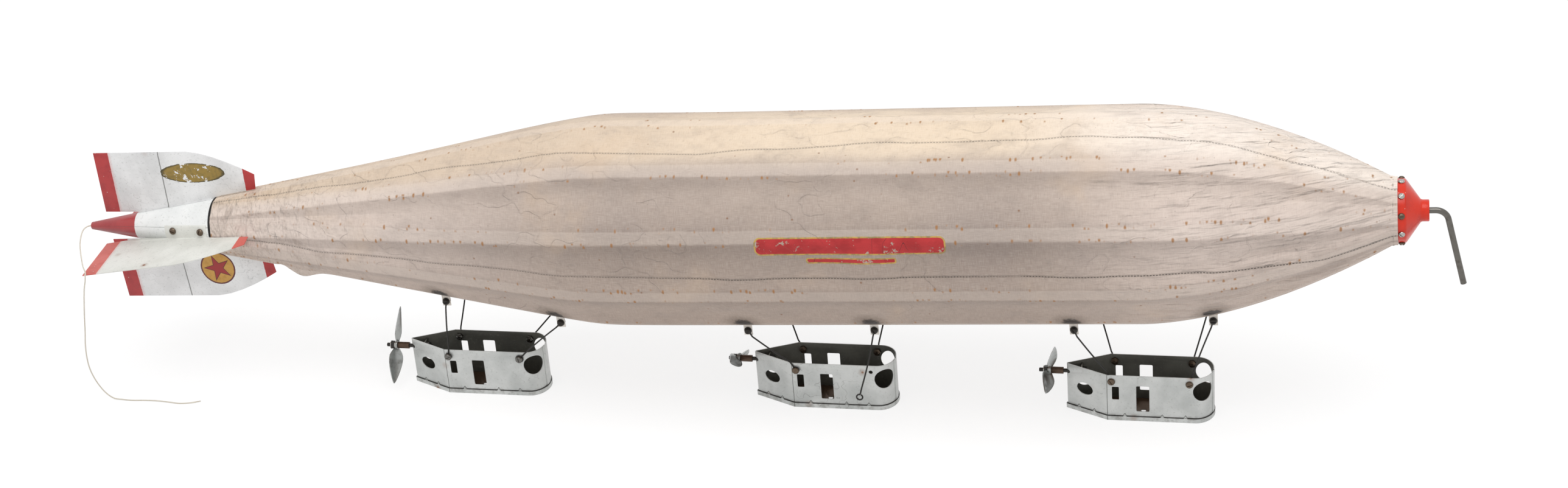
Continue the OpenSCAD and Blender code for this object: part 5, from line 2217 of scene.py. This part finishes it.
@dataclass
class NoseUnit:
    """The red nose cap with its screws, the mooring rod and the rod's collar; sizes in mm."""

    cap: tuple[tuple[float, float], ...] = (
        (30.6, 1341), (30.6, 1349.4), (30.2, 1350.4), (29.2, 1351.3), (11.6, 1363.6), (10.7, 1364.8),
        (10.5, 1366), (10.5, 1371.2), (10.1, 1371.8), (9.5, 1372), (3.6, 1372), (3.15, 1371.6),
        (3.05, 1370.8), (3.05, 1362.5), (10, 1362.5), (29.8, 1349.5), (29.8, 1341), (30.6, 1341),
    )
    screw_x: float = 1346.5
    screw_r: float = 30.65
    boss_x: float = 1372.0
    rod_d: float = 6.0
    bend_x: float = 1381.0
    bend_r: float = 8.0
    soft_r: float = 12.0
    bend: float = 79.0
    rod_l: float = 74.0
    inside_x: float = 1346.0

    def screws(self, name: str, seats: Iterable[int], finish: Material) -> None:
        """Puts some of the ten screws into the cap's rim.

        Args:
            name: what their name starts with.
            seats: their places round the rim.
            finish: their metal.
        """
        places = [
            aimed(HULL.point(self.screw_x, angle, self.screw_r), HULL.outward(angle), 0.8 * k)
            for k, angle in ((k, 90 + STRIP_TURN * k) for k in seats)
        ]
        model = RoundScrew(6.3, 2.6, 3.9).model("cap_screw", 5.5, nut=False)
        screws = joined(f"{name}_cap_screws", copies(model, places))
        fit(screws, Body.HULL.value, "cap_screw_steel", "nose_cap_screws", finish)

    def rod(self) -> Piece:
        """Bends the mooring rod.

        Returns:
            The rod.
        """
        half, full = math.radians(self.bend / 2), math.radians(self.bend)
        corner = self.bend_x + self.bend_r * math.tan(half)
        lost = self.soft_r * math.tan(half) - (corner - self.bend_x)
        heart = Vector((self.bend_x - lost, 0, -self.soft_r))
        path = [Vector((self.inside_x, 0, 0)), Vector((self.boss_x, 0, 0))]
        turns = np.linspace(0, full, 16)
        path += [heart + self.soft_r * Vector((math.sin(a), 0, math.cos(a))) for a in turns]
        down = Vector((math.cos(full), 0, -math.sin(full)))
        path += [path[-1] + down * 30, path[-1] + down * (self.rod_l - lost)]
        rod = drawn("rod", [HULL.matrix() @ (p * MM) / MM for p in path], self.rod_d)
        bevelled(rod, 0.5 * MM, 60, 3)
        smooth(rod, 40)
        return rod

    def build(self, finishes: "Finishes") -> None:
        """Makes the nose's pieces.

        Args:
            finishes: the materials.
        """
        cap = turned("cap", self.cap, aimed(HULL.tip, HULL.forward), 96)
        smooth(cap, 40)
        fit(cap, Body.HULL.value, "red_enamel", "nose_cap", finishes.red)
        self.screws("bright", (0, 2, 4, 5, 7, 9), finishes.nickel)
        self.screws("brown", (1, 3, 6, 8), finishes.brown_screw)
        fit(self.rod(), Body.ROD.value, "rod_steel", "mooring_rod", finishes.rod)
        collar = softened("rod_collar", "collar", 0.4 * MM)
        fit(collar, Body.ROD.value, "collar_brass", "rod_collar", finishes.brass)


@dataclass
class TailUnit:
    """The tail cone, its four fins and the screws between them; sizes in mm."""

    length: float = 144.0
    sheet: float = 0.8
    seat: float = 0.9
    screw_x: tuple[float, float] = (102, 135)
    screw_angles: tuple[float, ...] = (101.7, -78.3, 11.7, 168.3)

    def build(self, finishes: "Finishes") -> None:
        """Makes the tail's pieces.

        Args:
            finishes: the materials.
        """
        end = cone_r(self.length)
        outside = [(0, 0), (cone_r(0) - 0.5, 0), (cone_r(0.5), 0.5), (end, self.length)]
        inside = [(end - self.sheet, self.length), (CONE_TIP_R - 0.4, 2.5), (0, 2.5), (0, 0)]
        cone = turned("cone", [*outside, *inside], aimed(HULL.tip, HULL.forward), 96)
        smooth(cone, 40)
        fit(cone, Body.HULL.value, "cone_silver", "tail_cone", finishes.cone)
        for side in FinSide:
            node = f"fin_{side.name.lower()}"
            plate = softened(node, f"{node}_plate", 0.24 * MM)
            fit(plate, Body.HULL.value, "fin_enamel", node, finishes.fins[side])
        places = []
        lean = math.radians(CONE_SLOPE)
        for x in self.screw_x:
            for k, angle in enumerate(self.screw_angles):
                normal = HULL.outward(angle) * math.cos(lean) - HULL.forward * math.sin(lean)
                foot = HULL.point(x, angle, cone_r(x)) + normal * self.seat * MM
                places.append(aimed(foot, normal, 0.7 * k + x))
        screws = joined("fin_bolts", copies(RoundScrew().model("fin_screw", 3.5), places))
        fit(screws, Body.HULL.value, "dark_screw_steel", "fin_screws", finishes.brown_screw)


# Assembly


class Finishes:
    """Every material, built once."""

    # Painted light: the bottom fin's paint is whiter than the others to make up for the shade it sits in.
    fin_tones_and_painted_light = {FinSide.BOTTOM: ("FAFAFA", "E6E6E6"), FinSide.LEFT: ("E9E9E3", "DADAD3")}
    plain_fin = ("F1F1F1", "DCDCDC")

    def __init__(self) -> None:
        """Builds the materials."""
        self.cord = CottonCord()
        self.cloth = CoverCloth()
        self.red = RedEnamel().material()
        self.cone = ConePaint("cone_paint", "FAFBFA", "EDEFEE", rough=0.3, metal=0.0, rust=0.0).material()
        self.fins = {}
        for side in FinSide:
            tones = self.fin_tones_and_painted_light.get(side, self.plain_fin)
            paint = FinPaint(f"fin_paint_{side.name.lower()}", *tones, rust=0.06, side=side)
            self.fins[side] = paint.material()
        self.gondolas = [
            GondolaPaint(
                f"gondola_paint_{k + 1}", "D6D8D6", "BEC1BF", rough=0.36, metal=0.4, rust=0.1, scratch=0.55,
                stern_x=SWAYS[k][0] / MM - STERN_TO_SWAY,
            ).material()
            for k in GONDOLAS
        ]
        # Painted shade: the wall's inside is a dark grey for the shade inside the gondola.
        inside = SheetPaint("gondola_inside_painted_shade", "6A6A63", "55554F", rough=0.55, rust=0.0)
        self.gondola_inside = inside.material()
        self.propeller = BareMetal("blade_metal", "A8AAA8", "6C6A64", rough=0.3).material()
        self.wire = BareMetal("wire_metal", "2C2A27", "42362D", rough=0.6, metal=0.3).material()
        rod = BareMetal("rod_metal", "726F6A", "4E463E", rough=0.2, grain=(0.2, 1, 1), stains=0.7)
        self.rod = rod.material()
        self.brass = BareMetal("collar_metal", "A8935C", "6E5E3C", rough=0.38).material()
        self.copper = BareMetal("spacer_metal", "5C483B", "3E322A", rough=0.42, metal=0.6).material()
        self.nickel = BareMetal("nickel", "B9B7B2", "77716A", rough=0.2).material()
        self.grey_screw = BareMetal("grey_screw_metal", "75736F", "4A463F", rough=0.24).material()
        self.dark_screw = BareMetal("dark_screw_metal", "34312E", "463B33", rough=0.35, metal=0.6).material()
        self.brown_screw = BareMetal("brown_screw_metal", "6F6154", "4E3F33", rough=0.35).material()
        self.dark_steel = BareMetal("dark_steel_metal", "77766F", "5C554B", rough=0.5).material()
        self.bracket = SheetPaint("bracket_paint", "F6F1EA", "E6DED4", rust=0.1).material()
        # The tail collar's own dark metal, darkened nearly to black as painted shade in the gap between the
        # cone and the cloth.
        self.collar = BareMetal("tail_collar_metal_and_shade", "2C2A28", "3A332D", rough=0.5, metal=0.3).material()
        self.frame_strip = BareMetal("frame_metal", "A7A49B", "7D7468", rough=0.42).material()


def dress_frame(finishes: Finishes) -> None:
    """Gives the hidden frame under the cloth its materials."""
    rings = [f"ring_frame_{k}" for k in range(1, 9)]
    for node in ("stringers", *rings, "nose_ring", "frame_rivets"):
        dress(frame["nodes"][node], finishes.frame_strip)
    dress(frame["nodes"]["tail_collar"], finishes.collar)


def main() -> None:
    """Builds the airship round its frame."""
    logging.basicConfig(level=logging.INFO, format="%(name)s: %(message)s")
    CameraRig().build()
    Studio().build()
    finishes = Finishes()
    TailCord().build(finishes.cord)
    Cover().build(finishes.cloth)
    NoseUnit().build(finishes)
    TailUnit().build(finishes)
    Suspension().build(finishes)
    for index in GONDOLAS:
        Gondola(index).build(finishes)
    dress_frame(finishes)


if __name__ == "__main__":
    main()
